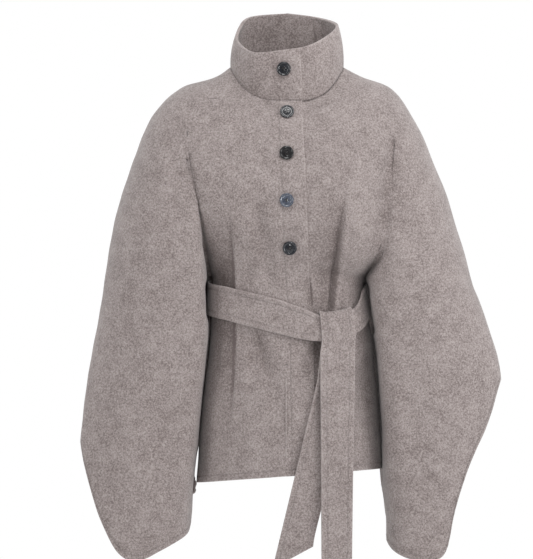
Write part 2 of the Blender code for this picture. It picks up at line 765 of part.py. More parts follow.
def build_waist_belt(finish):
    turn = np.linspace(-180, 180, BELT_COLUMNS, endpoint=False)
    belt = {name: angled(name, turn, WAIST_BELT) for name in WAIST_BELT}
    across = np.linspace(0.5, -0.5, BELT_ROWS)[:, None]
    z = belt["z"] + across * belt["width"]
    point, outward = waist(np.broadcast_to(turn, z.shape), z)
    inner = point + outward * belt["standoff"][:, None]
    outer = inner + outward * BELT_CLOTH
    index = grid_index(outer)
    index = np.hstack([index, index[:, :1]])
    return wall("belt_wrap", outer.reshape(-1, 3), inner.reshape(-1, 3), grid_faces(index), finish)


def belt_layer(turn, z, lift):
    """Points at a height above the inner face of the waist belt, lift millimetres out of it."""
    point, outward = waist(turn, z)
    standoff = angled("standoff", turn, WAIST_BELT)
    return point + outward * (standoff + lift)[..., None]


def free_length(edges, count):
    """Grid of the outer face of a belt end where it hangs free."""
    rows = np.linspace(0, len(edges["left_z"]) - 1, count)
    left = stack(*(along(edges["left_" + axis], rows) for axis in "xyz"))
    right = stack(*(along(edges["right_" + axis], rows) for axis in "xyz"))
    across = np.linspace(0, 1, TIE_COLUMNS)[None, :, None]
    return left[:, None] + (right - left)[:, None] * across


def behind(points):
    """The same grid a belt's thickness further back, square to the belt's width."""
    width = points[:, -1:] - points[:, :1]
    back = stack(-width[..., 1], width[..., 0], 0 * width[..., 0])
    return points + back / np.linalg.norm(back, axis=-1, keepdims=True) * BELT_CLOTH


def knot_turns():
    return np.linspace(KNOT_START, KNOT_END, TIE_COLUMNS)


def build_tie_over(finish):
    """The belt end on top: it comes up behind the waist belt, folds over its upper edge, lies on it
    and hangs down. The fold is half a ring round the waist belt's upper edge."""
    turn = knot_turns()
    middle = angled("z", turn, WAIST_BELT)
    half = angled("width", turn, WAIST_BELT) / 2
    bend = np.radians([180, 150, 120, 90, 60, 30, 0])[:, None]

    def face(radius):
        rows = [belt_layer(turn, middle + half - BELT_FOLD_BACK, BELT_CLOTH / 2 - radius + 0 * turn)]
        z = middle + half + radius * np.sin(bend)
        lift = BELT_CLOTH / 2 + radius * np.cos(bend)
        rows += [belt_layer(turn, z_row, lift_row) for z_row, lift_row in zip(z, lift)]
        rows += [
            belt_layer(turn, middle - half * down, BELT_CLOTH / 2 + radius + 0 * turn)
            for down in (0.0, 0.9)
        ]
        return np.stack(rows)

    hanging = free_length(TIE_OVER, TIE_ROWS)
    near = BELT_CLOTH / 2 + BELT_TIE_GAP
    outer = np.concatenate([face(near + BELT_CLOTH), hanging])
    inner = np.concatenate([face(near), behind(hanging)])
    faces = grid_faces(grid_index(outer))
    return wall("belt_tie_over", outer.reshape(-1, 3), inner.reshape(-1, 3), faces, finish)


def build_tie_under(finish):
    """The belt end below: it leaves the lower edge of the waist belt behind the upper end."""
    turn = knot_turns()
    low = angled("z", turn, WAIST_BELT) - angled("width", turn, WAIST_BELT) / 2 - BELT_TIE_GAP
    hanging = free_length(TIE_UNDER, TIE_ROWS)
    outer = np.concatenate([belt_layer(turn, low, BELT_CLOTH + 0 * turn)[None], hanging])
    inner = np.concatenate([belt_layer(turn, low, 0 * turn)[None], behind(hanging)])
    faces = grid_faces(grid_index(outer))
    return wall("belt_tie_under", outer.reshape(-1, 3), inner.reshape(-1, 3), faces, finish)


def turned(name, profile, sides):
    """A solid of revolution about Z from radii and heights, flat at both ends."""
    angle = np.linspace(0, math.tau, sides, endpoint=False)
    radius, height = np.array(profile, float).T
    points = stack(np.outer(radius, np.cos(angle)), np.outer(radius, np.sin(angle)), height[:, None])
    index = grid_index(points)
    index = np.hstack([index, index[:, :1]])
    faces = [list(map(int, f)) for f in grid_faces(index)[:, ::-1]]
    faces += [list(map(int, index[0, :-1][::-1])), list(map(int, index[-1, :-1]))]
    mesh = bpy.data.meshes.new(name)
    mesh.from_pydata((points.reshape(-1, 3) * MM).tolist(), [], faces)
    placed = bpy.data.objects.new(name, mesh)
    bpy.context.scene.collection.objects.link(placed)
    return placed


def button_mesh(finish):
    """A disc with a raised rim and a dished middle, facing +Z, with four sewing holes cut through."""
    rim_in = BUTTON_RADIUS - BUTTON_RIM
    profile = (
        (BUTTON_RADIUS - 1.2, 0.0),
        (BUTTON_RADIUS, BUTTON_THICKNESS * 0.45),
        (BUTTON_RADIUS - 0.7, BUTTON_THICKNESS * 0.9),
        (rim_in, BUTTON_THICKNESS),
        (rim_in - 1.4, BUTTON_THICKNESS - BUTTON_DISH),
    )
    disc = turned("button_disc", profile, BUTTON_SIDES)
    drill = ((BUTTON_HOLE_RADIUS, -BUTTON_THICKNESS), (BUTTON_HOLE_RADIUS, 2 * BUTTON_THICKNESS))
    cutters = []
    for dx, dy in ((-1, -1), (-1, 1), (1, -1), (1, 1)):
        cutter = turned("drill", drill, HOLE_SIDES)
        cutter.location = (dx * BUTTON_HOLE_OFFSET * MM, dy * BUTTON_HOLE_OFFSET * MM, 0)
        cutter.hide_render = True
        cutter.display_type = "WIRE"
        cut = disc.modifiers.new("hole", "BOOLEAN")
        cut.operation = "DIFFERENCE"
        cut.object = cutter
        cutters.append(cutter)
    bpy.context.view_layer.update()
    ready = disc.evaluated_get(bpy.context.evaluated_depsgraph_get())
    drilled = bpy.data.meshes.new_from_object(ready)
    for used in [disc, *cutters]:
        bpy.data.objects.remove(used)
    drilled.shade_smooth()
    drilled.set_sharp_from_angle(angle=math.radians(35))
    drilled.materials.clear()
    drilled.materials.append(finish)
    return drilled


def surface_of(placed):
    mesh = placed.data
    return BVHTree.FromPolygons([v.co for v in mesh.vertices], [p.vertices for p in mesh.polygons])


def build_buttons(collar, front, finish):
    """Buttons laid square on the cloth behind them."""
    mesh = button_mesh(finish)
    before = Vector((0, -500 * MM, 0))
    for i, (x, z) in enumerate(zip(BUTTONS["x"], BUTTONS["z"])):
        carrier = surface_of(collar if i == 0 else front)
        start = before + Vector((x * MM, 0, z * MM))
        place, normal, _, _ = carrier.ray_cast(start, Vector((0, 1, 0)))
        button = bpy.data.objects.new(f"button_{i + 1}", mesh)
        bpy.context.scene.collection.objects.link(button)
        button.location = place + normal * BUTTON_SEAT * MM
        button.rotation_mode = "QUATERNION"
        button.rotation_quaternion = normal.to_track_quat("Z", "Y")


def clear_scene():
    for existing in list(bpy.data.objects):
        bpy.data.objects.remove(existing)


def finish_of(name, colour, roughness, metallic=0.0):
    material = bpy.data.materials.new(name)
    material.use_nodes = True
    shader = material.node_tree.nodes["Principled BSDF"]
    shader.inputs["Base Color"].default_value = (*colour, 1)
    shader.inputs["Roughness"].default_value = roughness
    shader.inputs["Metallic"].default_value = metallic
    return material


def main():
    clear_scene()
    wool = finish_of("wool", (0.33, 0.285, 0.27), 0.95)
    horn = finish_of("button_horn", (0.02, 0.02, 0.022), 0.25)
    front = build_front(-1, wool)
    build_front(1, wool)
    build_back(wool)
    collar = build_collar(wool)
    build_waist_belt(wool)
    build_tie_over(wool)
    build_tie_under(wool)
    build_buttons(collar, front, horn)


main()
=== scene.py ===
"""Looks of a belted batwing cape in brushed taupe wool.

Every cloth piece is worked out again on a fine grid from the sizes of the coat, in millimetres:
rows run from the neck down to the hems, turns run round the wearer. The origin is the middle of
the neck, the wearer faces -Y and +X is the wearer's left.
"""

import json
import math

import bpy
import numpy as np
from mathutils import Matrix, Vector
from mathutils.bvhtree import BVHTree

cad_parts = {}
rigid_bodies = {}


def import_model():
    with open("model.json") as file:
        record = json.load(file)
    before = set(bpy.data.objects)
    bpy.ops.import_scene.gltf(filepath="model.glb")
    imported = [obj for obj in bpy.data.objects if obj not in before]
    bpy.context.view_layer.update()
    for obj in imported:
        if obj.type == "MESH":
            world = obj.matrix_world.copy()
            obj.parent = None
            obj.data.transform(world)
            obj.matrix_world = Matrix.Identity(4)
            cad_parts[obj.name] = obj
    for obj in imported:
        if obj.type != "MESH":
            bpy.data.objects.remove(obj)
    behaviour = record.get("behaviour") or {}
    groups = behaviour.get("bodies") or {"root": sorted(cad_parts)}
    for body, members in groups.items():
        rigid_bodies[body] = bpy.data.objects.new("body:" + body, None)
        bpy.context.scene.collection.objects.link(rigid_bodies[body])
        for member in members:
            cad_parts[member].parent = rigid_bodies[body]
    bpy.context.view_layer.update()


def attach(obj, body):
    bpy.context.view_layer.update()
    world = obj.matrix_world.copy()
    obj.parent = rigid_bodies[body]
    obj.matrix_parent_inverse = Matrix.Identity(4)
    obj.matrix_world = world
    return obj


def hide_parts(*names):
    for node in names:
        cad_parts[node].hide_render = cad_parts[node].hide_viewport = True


MM = 0.001

# Cloth and sewing
CLOTH = 3.0
COLLAR_CLOTH = 5.0
BELT_CLOTH = 4.0
SEAM_GAP = 0.4
LAYER_GAP = 0.9
FOLD_GAP = 4.0
ROUND_EDGE = 1.1
ROUND_DOUBLED = 1.7
ROUND_STEPS = 3
HEM_STITCH = 9.5
BELT_STITCH = 9.0
PLACKET_STITCH = 39.0
STITCH_STEP = 4.4
STITCH_LENGTH = 3.1
STITCH_RADIUS = 0.42
STITCH_RINGS = 7
STITCH_SIDES = 6

# Closing of the fronts
UNDERLAP = 44.0
PUSH_START = 5.0
PUSH_END = 30.0


def table(columns, *rows):
    """A dictionary of named columns, one number of each for every row."""
    return dict(zip(columns.split(), np.array(rows, float).T))


UNDERARM = 7
CUFF = 11
HEM = 12

# Middle of the front and of the back, from the neck seam down to the underarm.
MIDDLE = table(
    "front_y front_z back_y back_z rise",
    (-76, -42, 66, 20, 3.6),
    (-99, -74, 84, -3, 2.4),
    (-115, -112, 99, -34, 2.0),
    (-127, -154, 110, -84, 2.0),
    (-133, -200, 115, -136, 2.0),
    (-131, -244, 114, -196, 2.0),
    (-121, -286, 107, -258, 2.0),
    (-109, -324, 98, -322, 2.0),
)

# Body below the underarm: belt, hip and hem. Flat is 2 on an oval, more where the front is flatter.
BODY = table(
    "right_x left_x front_y back_y z flat",
    (124, 124, -109, 98, -324, 2.5),
    (123.5, 123, -105, 94, -352, 3.0),
    (124.5, 129, -104, 93, -386, 3.1),
    (127.5, 139, -109, 99, -440, 2.9),
    (139, 148, -119, 112, -545, 2.3),
    (148, 153, -126, 120, -648.5, 2.1),
)
BODY_SIDES = {-1: "right_x", 1: "left_x"}
HEM_TILT = 0.075

# Wings, from the neck seam to the underarm and on to the cuff. Over is the seam along the shoulder
# and arm, fold is the valley between chest and wing, crest is the part that stands out most. Parted
# goes from one oval over chest and wing, 0, to two, round is 2 on an oval and more where the valley
# is steeper, and crisp is 1 on an oval and less where the wing turns more sharply at the valley.
WING_RIGHT = table(
    "over_x over_y over_z fold_x fold_y crest_x crest_y back_y parted round crisp",
    (91.5, 3, 12, 62, -60, 80, -44, 30, 0.0, 1.0, 1.0),
    (120, 3, -5, 92, -70, 108, -50, 44, 0.0, 1.0, 1.0),
    (173, 3, -21, 146, -72, 160, -60, 54, 0.0, 1.0, 1.0),
    (217, 2, -66, 160, -84, 190, -74, 62, 0.2, 1.1, 0.9),
    (247, 0, -130, 147, -95, 190, -99, 72, 0.5, 1.3, 0.6),
    (271, -3, -206, 138, -86, 185, -107, 74, 0.8, 1.6, 0.4),
    (287, -8, -284, 131, -46, 182, -108, 72, 1.0, 2.1, 0.35),
    (298, -13, -344, 124, -4.2, 184, -103, 66, 1.0, 2.5, 0.40),
    (308, -18, -409, 123, 0, 196, -99, 58, 1.0, 3.0, 0.42),
    (318, -24, -471, 133, 0, 212, -97, 48, 1.0, 3.0, 0.46),
    (328, -30, -533, 141, 0, 226, -95, 36, 1.0, 2.8, 0.52),
    (335, -36, -595, 149, 0, 240, -92, 24, 1.0, 2.6, 0.6),
)
WING_LEFT = table(
    "over_x over_y over_z fold_x fold_y crest_x crest_y back_y parted round crisp",
    (91.5, 3, 12, 62, -60, 80, -44, 30, 0.0, 1.0, 1.0),
    (120, 3, -4, 92, -70, 108, -50, 44, 0.0, 1.0, 1.0),
    (167, 3, -22, 146, -66, 158, -56, 54, 0.0, 1.0, 1.0),
    (205, 2, -72, 171, -68, 190, -60, 62, 0.0, 1.0, 1.0),
    (236, 0, -140, 168, -86, 206, -88, 72, 0.12, 1.0, 1.0),
    (263, -3, -212, 160, -96, 210, -105, 76, 0.3, 1.0, 1.0),
    (285, -8, -285, 150, -86, 206, -109, 74, 0.6, 1.2, 1.0),
    (303, -13, -346, 124, -4.2, 202, -108, 68, 1.0, 2.5, 0.7),
    (317, -18, -386, 138, 0, 214, -106, 60, 1.0, 3.0, 0.42),
    (330, -24, -424, 147, 0, 228, -106, 50, 1.0, 3.0, 0.44),
    (341, -30, -460, 152, 0, 238, -104, 38, 1.0, 2.8, 0.5),
    (347, -36, -492, 154, 0, 240, -96, 26, 1.0, 2.6, 0.6),
)
WINGS = {-1: WING_RIGHT, 1: WING_LEFT}

# How strongly each wing's front leans over its valley at the levels: by up to 0.62 of this, in
# millimetres, which is 8 at the most.
LAP = {
    -1: np.array([0, 0, 0, 0, 3.0, 7.0, 9.0, 9.0, 13.0, 11.0, 8.0, 4.0]),
    1: np.array([0, 0, 0, 0, 0, 0, 0, 3.0, 9.0, 10.0, 7.0, 4.0]),
}
BACK_HEM_LIFT = 5.0
BODY_CLEARANCE = 4.0
BELT_CLEARANCE = 9.6
BACK_TUCK = 64.0
BACK_FOLD_SHARE = 0.9

# Half depth of the skin where body and wing part. Then how many levels the underarm takes to open,
# the wing's clearance to grow and, above the underarm, its back to tuck in behind the body. Last,
# the heights over which the belt's clearance ends and the wing leaves the body's line.
UNDERARM_HALF = 4.2
OPENING_LEVELS = 0.3
CLEARANCE_LEVELS = 0.2
TUCK_LEVELS = 1.2
BELT_EASE = 24.0
HEM_EASE = 60.0

# Cuff edges in the front view, from the inner corner down to the tip and up to the outer corner.
CUFF_RIGHT = table(
    "x z",
    (153, -700),
    (156, -726),
    (166, -746),
    (207, -771),
    (244, -787),
    (275, -771),
    (300, -724),
    (316, -679),
    (329, -630),
    (335, -595),
)
CUFF_LEFT = table(
    "x z",
    (158, -728),
    (160, -750),
    (173, -770),
    (199, -783),
    (228, -787),
    (256, -771),
    (272, -702),
    (296, -628),
    (326, -560),
    (347, -492),
)
CUFFS = {-1: CUFF_RIGHT, 1: CUFF_LEFT}

# Belt round the waist. The turn is in degrees from the middle front towards the wearer's left, z is
# the middle of the belt, and standoff is what lies between it and the coat.
WAIST_BELT = table(
    "turn z width standoff",
    (-180, -358, 55, 2.2),
    (-120, -358, 55, 2.2),
    (-90, -361, 52, 2.2),
    (-50, -370, 54, 2.2),
    (-25, -381, 55, 2.2),
    (-5, -392, 55, 2.2),
    (13, -404, 50, 4.5),
    (25, -410, 41, 7.0),
    (42, -405, 38, 8.5),
    (54, -396, 39, 8.5),
    (62, -386, 43, 7.0),
    (72, -373, 50, 4.0),
    (85, -367, 51, 2.4),
    (96, -363, 52, 2.2),
    (120, -358, 55, 2.2),
    (180, -358, 55, 2.2),
)
BELT_LOWEST = {-1: -401.0, 1: -424.0}
KNOT_START = 23
KNOT_END = 48.5
BELT_TIE_GAP = 0.8
BELT_FOLD_BACK = 24.0

# Belt ends where they hang free: both edges in the front view and how far forward each lies.
TIE_OVER = table(
    "left_x left_y left_z right_x right_y right_z",
    (54.3, -122, -452, 109.5, -101, -446),
    (54.8, -126, -510, 109, -105, -506),
    (55.5, -131, -577, 108, -110, -575),
    (56, -136, -648, 106.5, -116, -648),
    (56.7, -137, -782, 105, -118, -770),
    (57, -137, -826, 104.5, -118, -800),
)
TIE_UNDER = table(
    "left_x left_y left_z right_x right_y right_z",
    (50, -117, -494, 106, -93, -490),
    (30, -127, -577, 90, -107, -566),
    (10, -134, -660, 70, -122, -645),
    (-13.5, -134, -757, 47, -125, -735),
    (-23, -134, -797, 42, -125, -762),
)

# Edge of the upper front, which lies on the left front: x at heights down the coat.
CLOSING_EDGE = table(
    "z x",
    (-648, 47),
    (-400, 43),
    (-318, 35.6),
    (-190, 31),
    (-73, 25.6),
    (-24, 24.3),
    (60, 24.3),
)

# Folds and creases, top and bottom ends in the front view. The cloth drops by depth, on the side
# that lean names: -1 towards the wearer's right, 1 towards the left, 0 both sides alike. Bow is how
# far the line bulges to the wearer's left in its middle.
FOLD_START = 0.3
FOLD_END = 0.45
FOLD_STEEP = 0.16
FOLD_SLOW = 1.6
FRONT_FOLDS = table(
    "top_x top_z bottom_x bottom_z bow depth width lean",
    (-97, -205, -97, -610, 9, 10.0, 17, -1),
    (-54, -190, -28, -350, 0, 5.0, 17, 0),
    (-58, -396, -30, -520, -3, 5.0, 17, 0),
    (98.5, -150, 54, -560, 0, 13.0, 19, -1),
    (124, -440, 128, -600, 0, 5.0, 16, 0),
    (120, -110, 104, -360, 3, -5.0, 13, 0),
    (175, -70, 138, -345, 4, 8.5, 13, 0),
    (-94, -205, -95, -600, 9, 4.0, 2.0, 0),
    (92.2, -205, 52.6, -560, 0, 3.6, 1.7, 0),
    (-103, -318, -99, -356, 1, 2.0, 4, 0),
    (-30, -282, -26, -362, -2, 2.4, 9, 0),
    (-52, -190, -46, -292, 3, 2.6, 12, 0),
    (-52, -396, -34, -500, -2, 4.2, 9, 1),
    (-70, -262, -66, -350, 2, 1.8, 8, 1),
    (37, -322, 43, -392, 1, 2.6, 5, -1),
    (60, -262, 56, -372, -3, 2.2, 9, 0),
    (-142, -262, -126, -312, 4, 1.6, 6, 0),
    (-62, -420, -66, -540, 3, 2.6, 12, 1),
    (-20, -440, -8, -600, -4, 2.2, 13, 0),
    (-112, -410, -120, -520, 2, 2.4, 9, -1),
    (30, -430, 26, -520, 2, 2.4, 10, 0),
    (30, -60, 104, -34, -1, 1.4, 5, 0),
    (-42, -40, -14, -58, 0, 1.1, 4.5, 0),
)
BACK_FOLDS = table(
    "top_x top_z bottom_x bottom_z bow depth width lean",
    (-88, -230, -76, -580, 0, 7.0, 18, -1),
    (-34, -255, -28, -520, 0, 5.0, 20, 0),
    (26, -245, 22, -540, 0, 6.0, 19, 1),
    (84, -225, 74, -590, 0, 7.0, 18, 1),
    (-60, -300, -56, -392, 2, 2.4, 8, 0),
    (4, -290, 8, -400, -2, 2.2, 8, 0),
    (54, -296, 50, -470, 2, 2.4, 9, -1),
    (-108, -310, -112, -430, 1, 2.2, 8, 0),
    (106, -320, 112, -450, -1, 2.2, 8, 0),
    (-70, -60, 60, -92, -6, 1.4, 16, 0),
)

# Creases narrower than this get darker painted shade in the cloth's colour than wider folds do.
NARROW = 6.0
NARROW_SHADE = 4.2
WIDE_SHADE = 26.0

# Slow waves of the cloth, so that no panel is quite even: their lengths and height.
WAVES = table(
    "across down height shift",
    (190, 310, 0.9, 0.4),
    (83, -140, 0.5, 1.9),
    (47, 61, 0.22, 3.1),
)

# Collar: the seam at its foot runs on the neck, its rim is given at places round the neck. The turn
# is in degrees from the middle front towards the wearer's left.
COLLAR_RIM = table(
    "turn x y z",
    (-180, 2, 70, 102),
    (-135, -60, 52, 96),
    (-100, -79, 22, 78),
    (-72, -81, -20, 56),
    (-38, -54, -68, 37),
    (0, 0, -80, 41.5),
    (30, 36, -72, 48),
    (70, 73, -36, 69),
    (98, 82, 0, 84),
    (138, 52, 53, 95),
    (180, 2, 70, 102),
)
# Painted shade on the collar: the turn of each band, its width in degrees and how much it darkens;
# the collar's shape has no dents there.
COLLAR_SHADE_BANDS = table(
    "turn wide deep",
    (-12, 13, 0.26),
    (-37, 9, 0.34),
    (-66, 6, 0.18),
    (-150, 16, 0.3),
    (-172, 14, 0.2),
    (-214, 2.2, 0.9),
    (-226, 10, 0.25),
)
COLLAR_EDGE_TURN = 16.0
COLLAR_UNDER_TURN = -14.0
COLLAR_EASE = 28.0
COLLAR_BOW = 3.2
COLLAR_LIFT = -0.8
COLLAR_UNDER_DROP = 1.8

# Buttons down the middle front: the first is on the collar. Tone is 0 for near-black horn and 1 for
# the paler blue-grey one, a painted reflection of a lamp.
BUTTONS = table(
    "x z spin tone",
    (-5.2, 9.0, 20, 0.1),
    (0, -61.5, 52, 0.1),
    (-0.8, -127.5, 8, 0.0),
    (-0.6, -203.5, 35, 1.0),
    (4.2, -280.3, 66, 0.15),
)
BUTTON_RADIUS = 11.5
BUTTON_THICKNESS = 4.2
BUTTON_PROFILE = table(
    "across up",
    (0.74, 0.0),
    (0.90, 0.04),
    (0.97, 0.28),
    (1.0, 0.5),
    (0.99, 0.72),
    (0.955, 0.9),
    (0.91, 0.98),
    (0.85, 1.0),
    (0.80, 0.95),
    (0.75, 0.86),
    (0.70, 0.80),
    (0.62, 0.80),
    (0.50, 0.86),
    (0.36, 0.92),
    (0.20, 0.96),
    (0.05, 0.97),
)
BUTTON_SEAT = 0.9
BUTTON_UPRIGHT = 0.3
BUTTON_HOLE_RADIUS = 1.1
BUTTON_HOLE_OFFSET = 2.0
BUTTON_SIDES = 64
HOLE_SIDES = 16
BUTTON_CREASE = 40
SEARCH_FROM = 500.0

# Thread of a button: its foot as a share of the thickness, its radius, half the distance between
# its two strands, how high they arch and how much higher the second pair lies on the first.
THREAD_FOOT = 0.68
THREAD_RADIUS = 0.36
THREAD_APART = 0.33
THREAD_ARCH = 1.25
THREAD_OVER = 0.35
THREAD_SIDES = 8
THREAD_STEPS = 9

# Grid of the cloth: cells between one level and the next, and columns of each quarter.
UPPER_CELLS = (12, 14, 17, 18, 20, 21, 16)
BODY_CELLS = (8, 10, 15, 28, 28)
WING_CELLS = (30, 26, 28, 30)
CHEST_COLUMNS = 90
REACH_COLUMNS = 13
INNER_COLUMNS = 26
OUTER_COLUMNS = 42
BACK_COLUMNS = 44
BACK_INNER_COLUMNS = 20
BACK_OUTER_COLUMNS = 34
COLLAR_COLUMNS = 220
COLLAR_ROWS = 26
BELT_COLUMNS = 300
BELT_ROWS = 18
TIE_COLUMNS = 18
TIE_ROWS = 120
TURN_END = 0.0001
KNOT_STEPS = 19

# Distances from an edge or a seam are capped here.
FAR = 60.0

# Search for the turn of the upper front's edge: where it starts and how often it is bettered.
FIRST_TURN = 0.2
BETTERED = 6


def along(column, at):
    """Smooth curve through the numbers of a column, read at fractional row numbers: a cubic between
    each two rows, whose slope at a row is half the step from the row before to the row after."""
    count = len(column)
    at = np.clip(np.asarray(at, float), 0, count - 1)
    low = np.minimum(np.floor(at).astype(int), count - 2)
    t = at - low
    before = column[np.maximum(low - 1, 0)]
    start = column[low]
    end = column[low + 1]
    after = column[np.minimum(low + 2, count - 1)]
    slope_in = (end - before) / 2
    slope_out = (after - start) / 2
    rest = end - start
    return (
        start
        + slope_in * t
        + (3 * rest - 2 * slope_in - slope_out) * t**2
        + (slope_in + slope_out - 2 * rest) * t**3
    )


def ease(t):
    """Smooth step from 0 to 1: 3 t squared less 2 t cubed."""
    t = np.clip(t, 0, 1)
    return t * t * (3 - 2 * t)


def stack(x, y, z):
    """Points from coordinates, with a last axis of three."""
    return np.stack(np.broadcast_arrays(x, y, z), axis=-1)


def unit(vectors):
    """Vectors brought to length 1."""
    return vectors / np.maximum(np.linalg.norm(vectors, axis=-1, keepdims=True), 1e-9)


def read(columns, at):
    """Every column of a table, read along its smooth curve."""
    return {name: along(column, at) for name, column in columns.items()}


def each_row(columns):
    """The rows of a table, each a dictionary of its numbers by column name."""
    return [dict(zip(columns, row)) for row in zip(*columns.values())]


def outer_quarter(marks, front_turn, crest_y):
    """x and y on a quarter oval from the crest, at turn 2, to the over seam, at turn 3."""
    angle = np.clip(front_turn - 2, 0, 1) * math.pi / 2
    x = marks["crest_x"] + (marks["over_x"] - marks["crest_x"]) * np.sin(angle)
    y = marks["over_y"] + (crest_y - marks["over_y"]) * np.cos(angle)
    return x, y


def lapped(side, level, inner, behind):
    """How far the wing's front leans over its valley, most past the middle of its inner quarter."""
    lap = np.where(behind, 0, along(LAP[side], level))
    return lap * np.sin(inner) * np.sqrt(np.cos(inner))


def skin(side, level, turn):
    """The coat above the underarm. turn runs 0 to 1 on the chest, 1 to 3 on the wing's front, 3 to
    5 on its back and 5 to 6 on the back. Chest and wing are quarter ovals that meet in the fold,
    x by a sine and y by a power of a cosine, blended by parted with one oval over both. z drops
    from the middle to the over seam by a power of x."""
    behind = turn > 3
    front_turn = np.where(behind, 6 - turn, turn)
    marks = read(WINGS[side], level)
    middle = read(MIDDLE, level)
    middle_y = np.where(behind, middle["back_y"], middle["front_y"])
    middle_z = np.where(behind, middle["back_z"], middle["front_z"])
    crest_y = np.where(behind, marks["back_y"], marks["crest_y"])
    back_fold_y = np.maximum(UNDERARM_HALF, -marks["fold_y"] * BACK_FOLD_SHARE)
    fold_y = np.where(behind, back_fold_y, marks["fold_y"])
    chest = np.clip(front_turn, 0, 1) * math.pi / 2
    chest_x = marks["fold_x"] * np.sin(chest)
    chest_y = fold_y + (middle_y - fold_y) * np.cos(chest) ** (2 / marks["round"])
    inner = np.clip(front_turn - 1, 0, 1) * math.pi / 2
    valley_x = marks["fold_x"] + FOLD_GAP
    inner_y = fold_y + (crest_y - fold_y) * np.sin(inner) ** (2 / marks["round"])
    tucked = np.where(behind, ease((level - UNDERARM) / TUCK_LEVELS + 1), 0)
    edge_x = valley_x - BACK_TUCK * tucked * np.sin(inner)
    inner_x = marks["crest_x"] + (edge_x - marks["crest_x"]) * np.cos(inner) ** marks["crisp"]
    reach = np.clip((inner_y - fold_y) / (middle_y - fold_y), 0, 1) ** marks["round"]
    least_x = marks["fold_x"] * np.sqrt(1 - reach) + FOLD_GAP
    inner_x = inner_x + (np.maximum(inner_x, least_x) - inner_x) * tucked
    inner_x = inner_x - lapped(side, level, inner, behind)
    outer_x, outer_y = outer_quarter(marks, front_turn, crest_y)
    x = np.where(front_turn <= 1, chest_x, np.where(front_turn < 2, inner_x, outer_x))
    y = np.where(front_turn <= 1, chest_y, np.where(front_turn < 2, inner_y, outer_y))
    share = np.clip(x / marks["over_x"], 0, 1)
    oval_y = marks["over_y"] + (middle_y - marks["over_y"]) * np.sqrt(1 - share**2)
    y = oval_y + (y - oval_y) * marks["parted"]
    z = middle_z + (marks["over_z"] - middle_z) * share ** middle["rise"]
    return stack(side * x, y, z)


def body(side, level, turn):
    """The body below the underarm: a half oval from the middle front, turn 0, to the back, 2. x goes
    by a sine and y by a power of a cosine, so that the front is flatter than an oval. Its first
    rows drop towards the sides as the rows above do."""
    row = read(BODY, level - UNDERARM)
    behind = turn > 1
    quarter = np.where(behind, 2 - turn, turn) * math.pi / 2
    middle_y = np.where(behind, row["back_y"], row["front_y"])
    opening = UNDERARM_HALF * np.clip(1 - (level - UNDERARM) / OPENING_LEVELS, 0, 1)
    side_y = np.where(behind, opening, -opening)
    x = row[BODY_SIDES[side]] * np.sin(quarter)
    y = side_y + (middle_y - side_y) * np.cos(quarter) ** (2 / row["flat"])
    tilt = HEM_TILT * np.clip((level - UNDERARM) / (HEM - UNDERARM), 0, 1) ** 2
    over_x, over_z = (WINGS[side][name][UNDERARM] for name in ("over_x", "over_z"))
    drop = (over_z - BODY["z"][0]) * (x / over_x) ** MIDDLE["rise"][UNDERARM]
    z = row["z"] + drop * (1 - ease(level - UNDERARM))
    return stack(side * x, y, z + tilt * side * x)


def cuff_height(side, share):
    """Height of the cuff's edge at a share of its width, read off the edge's own points."""
    edge = CUFFS[side]
    fine = np.linspace(0, len(edge["x"]) - 1, 400)
    x = along(edge["x"], fine)
    z = along(edge["z"], fine)
    order = np.argsort(x)
    return np.interp(edge["x"][0] + share * (edge["x"][-1] - edge["x"][0]), x[order], z[order])


def level_at(z):
    """Level of the body at a height."""
    fine = np.linspace(UNDERARM, HEM, 400)
    return np.interp(-z, -along(BODY["z"], fine - UNDERARM), fine)


def body_reach(side, y, z):
    """Half width of the body at a depth and a height, on the oval with its flatter front."""
    row = read(BODY, level_at(z) - UNDERARM)
    deepest = np.where(y > 0, row["back_y"], row["front_y"])
    share = np.clip(y / deepest, 0, 1) ** row["flat"]
    return row[BODY_SIDES[side]] * np.sqrt(1 - share)


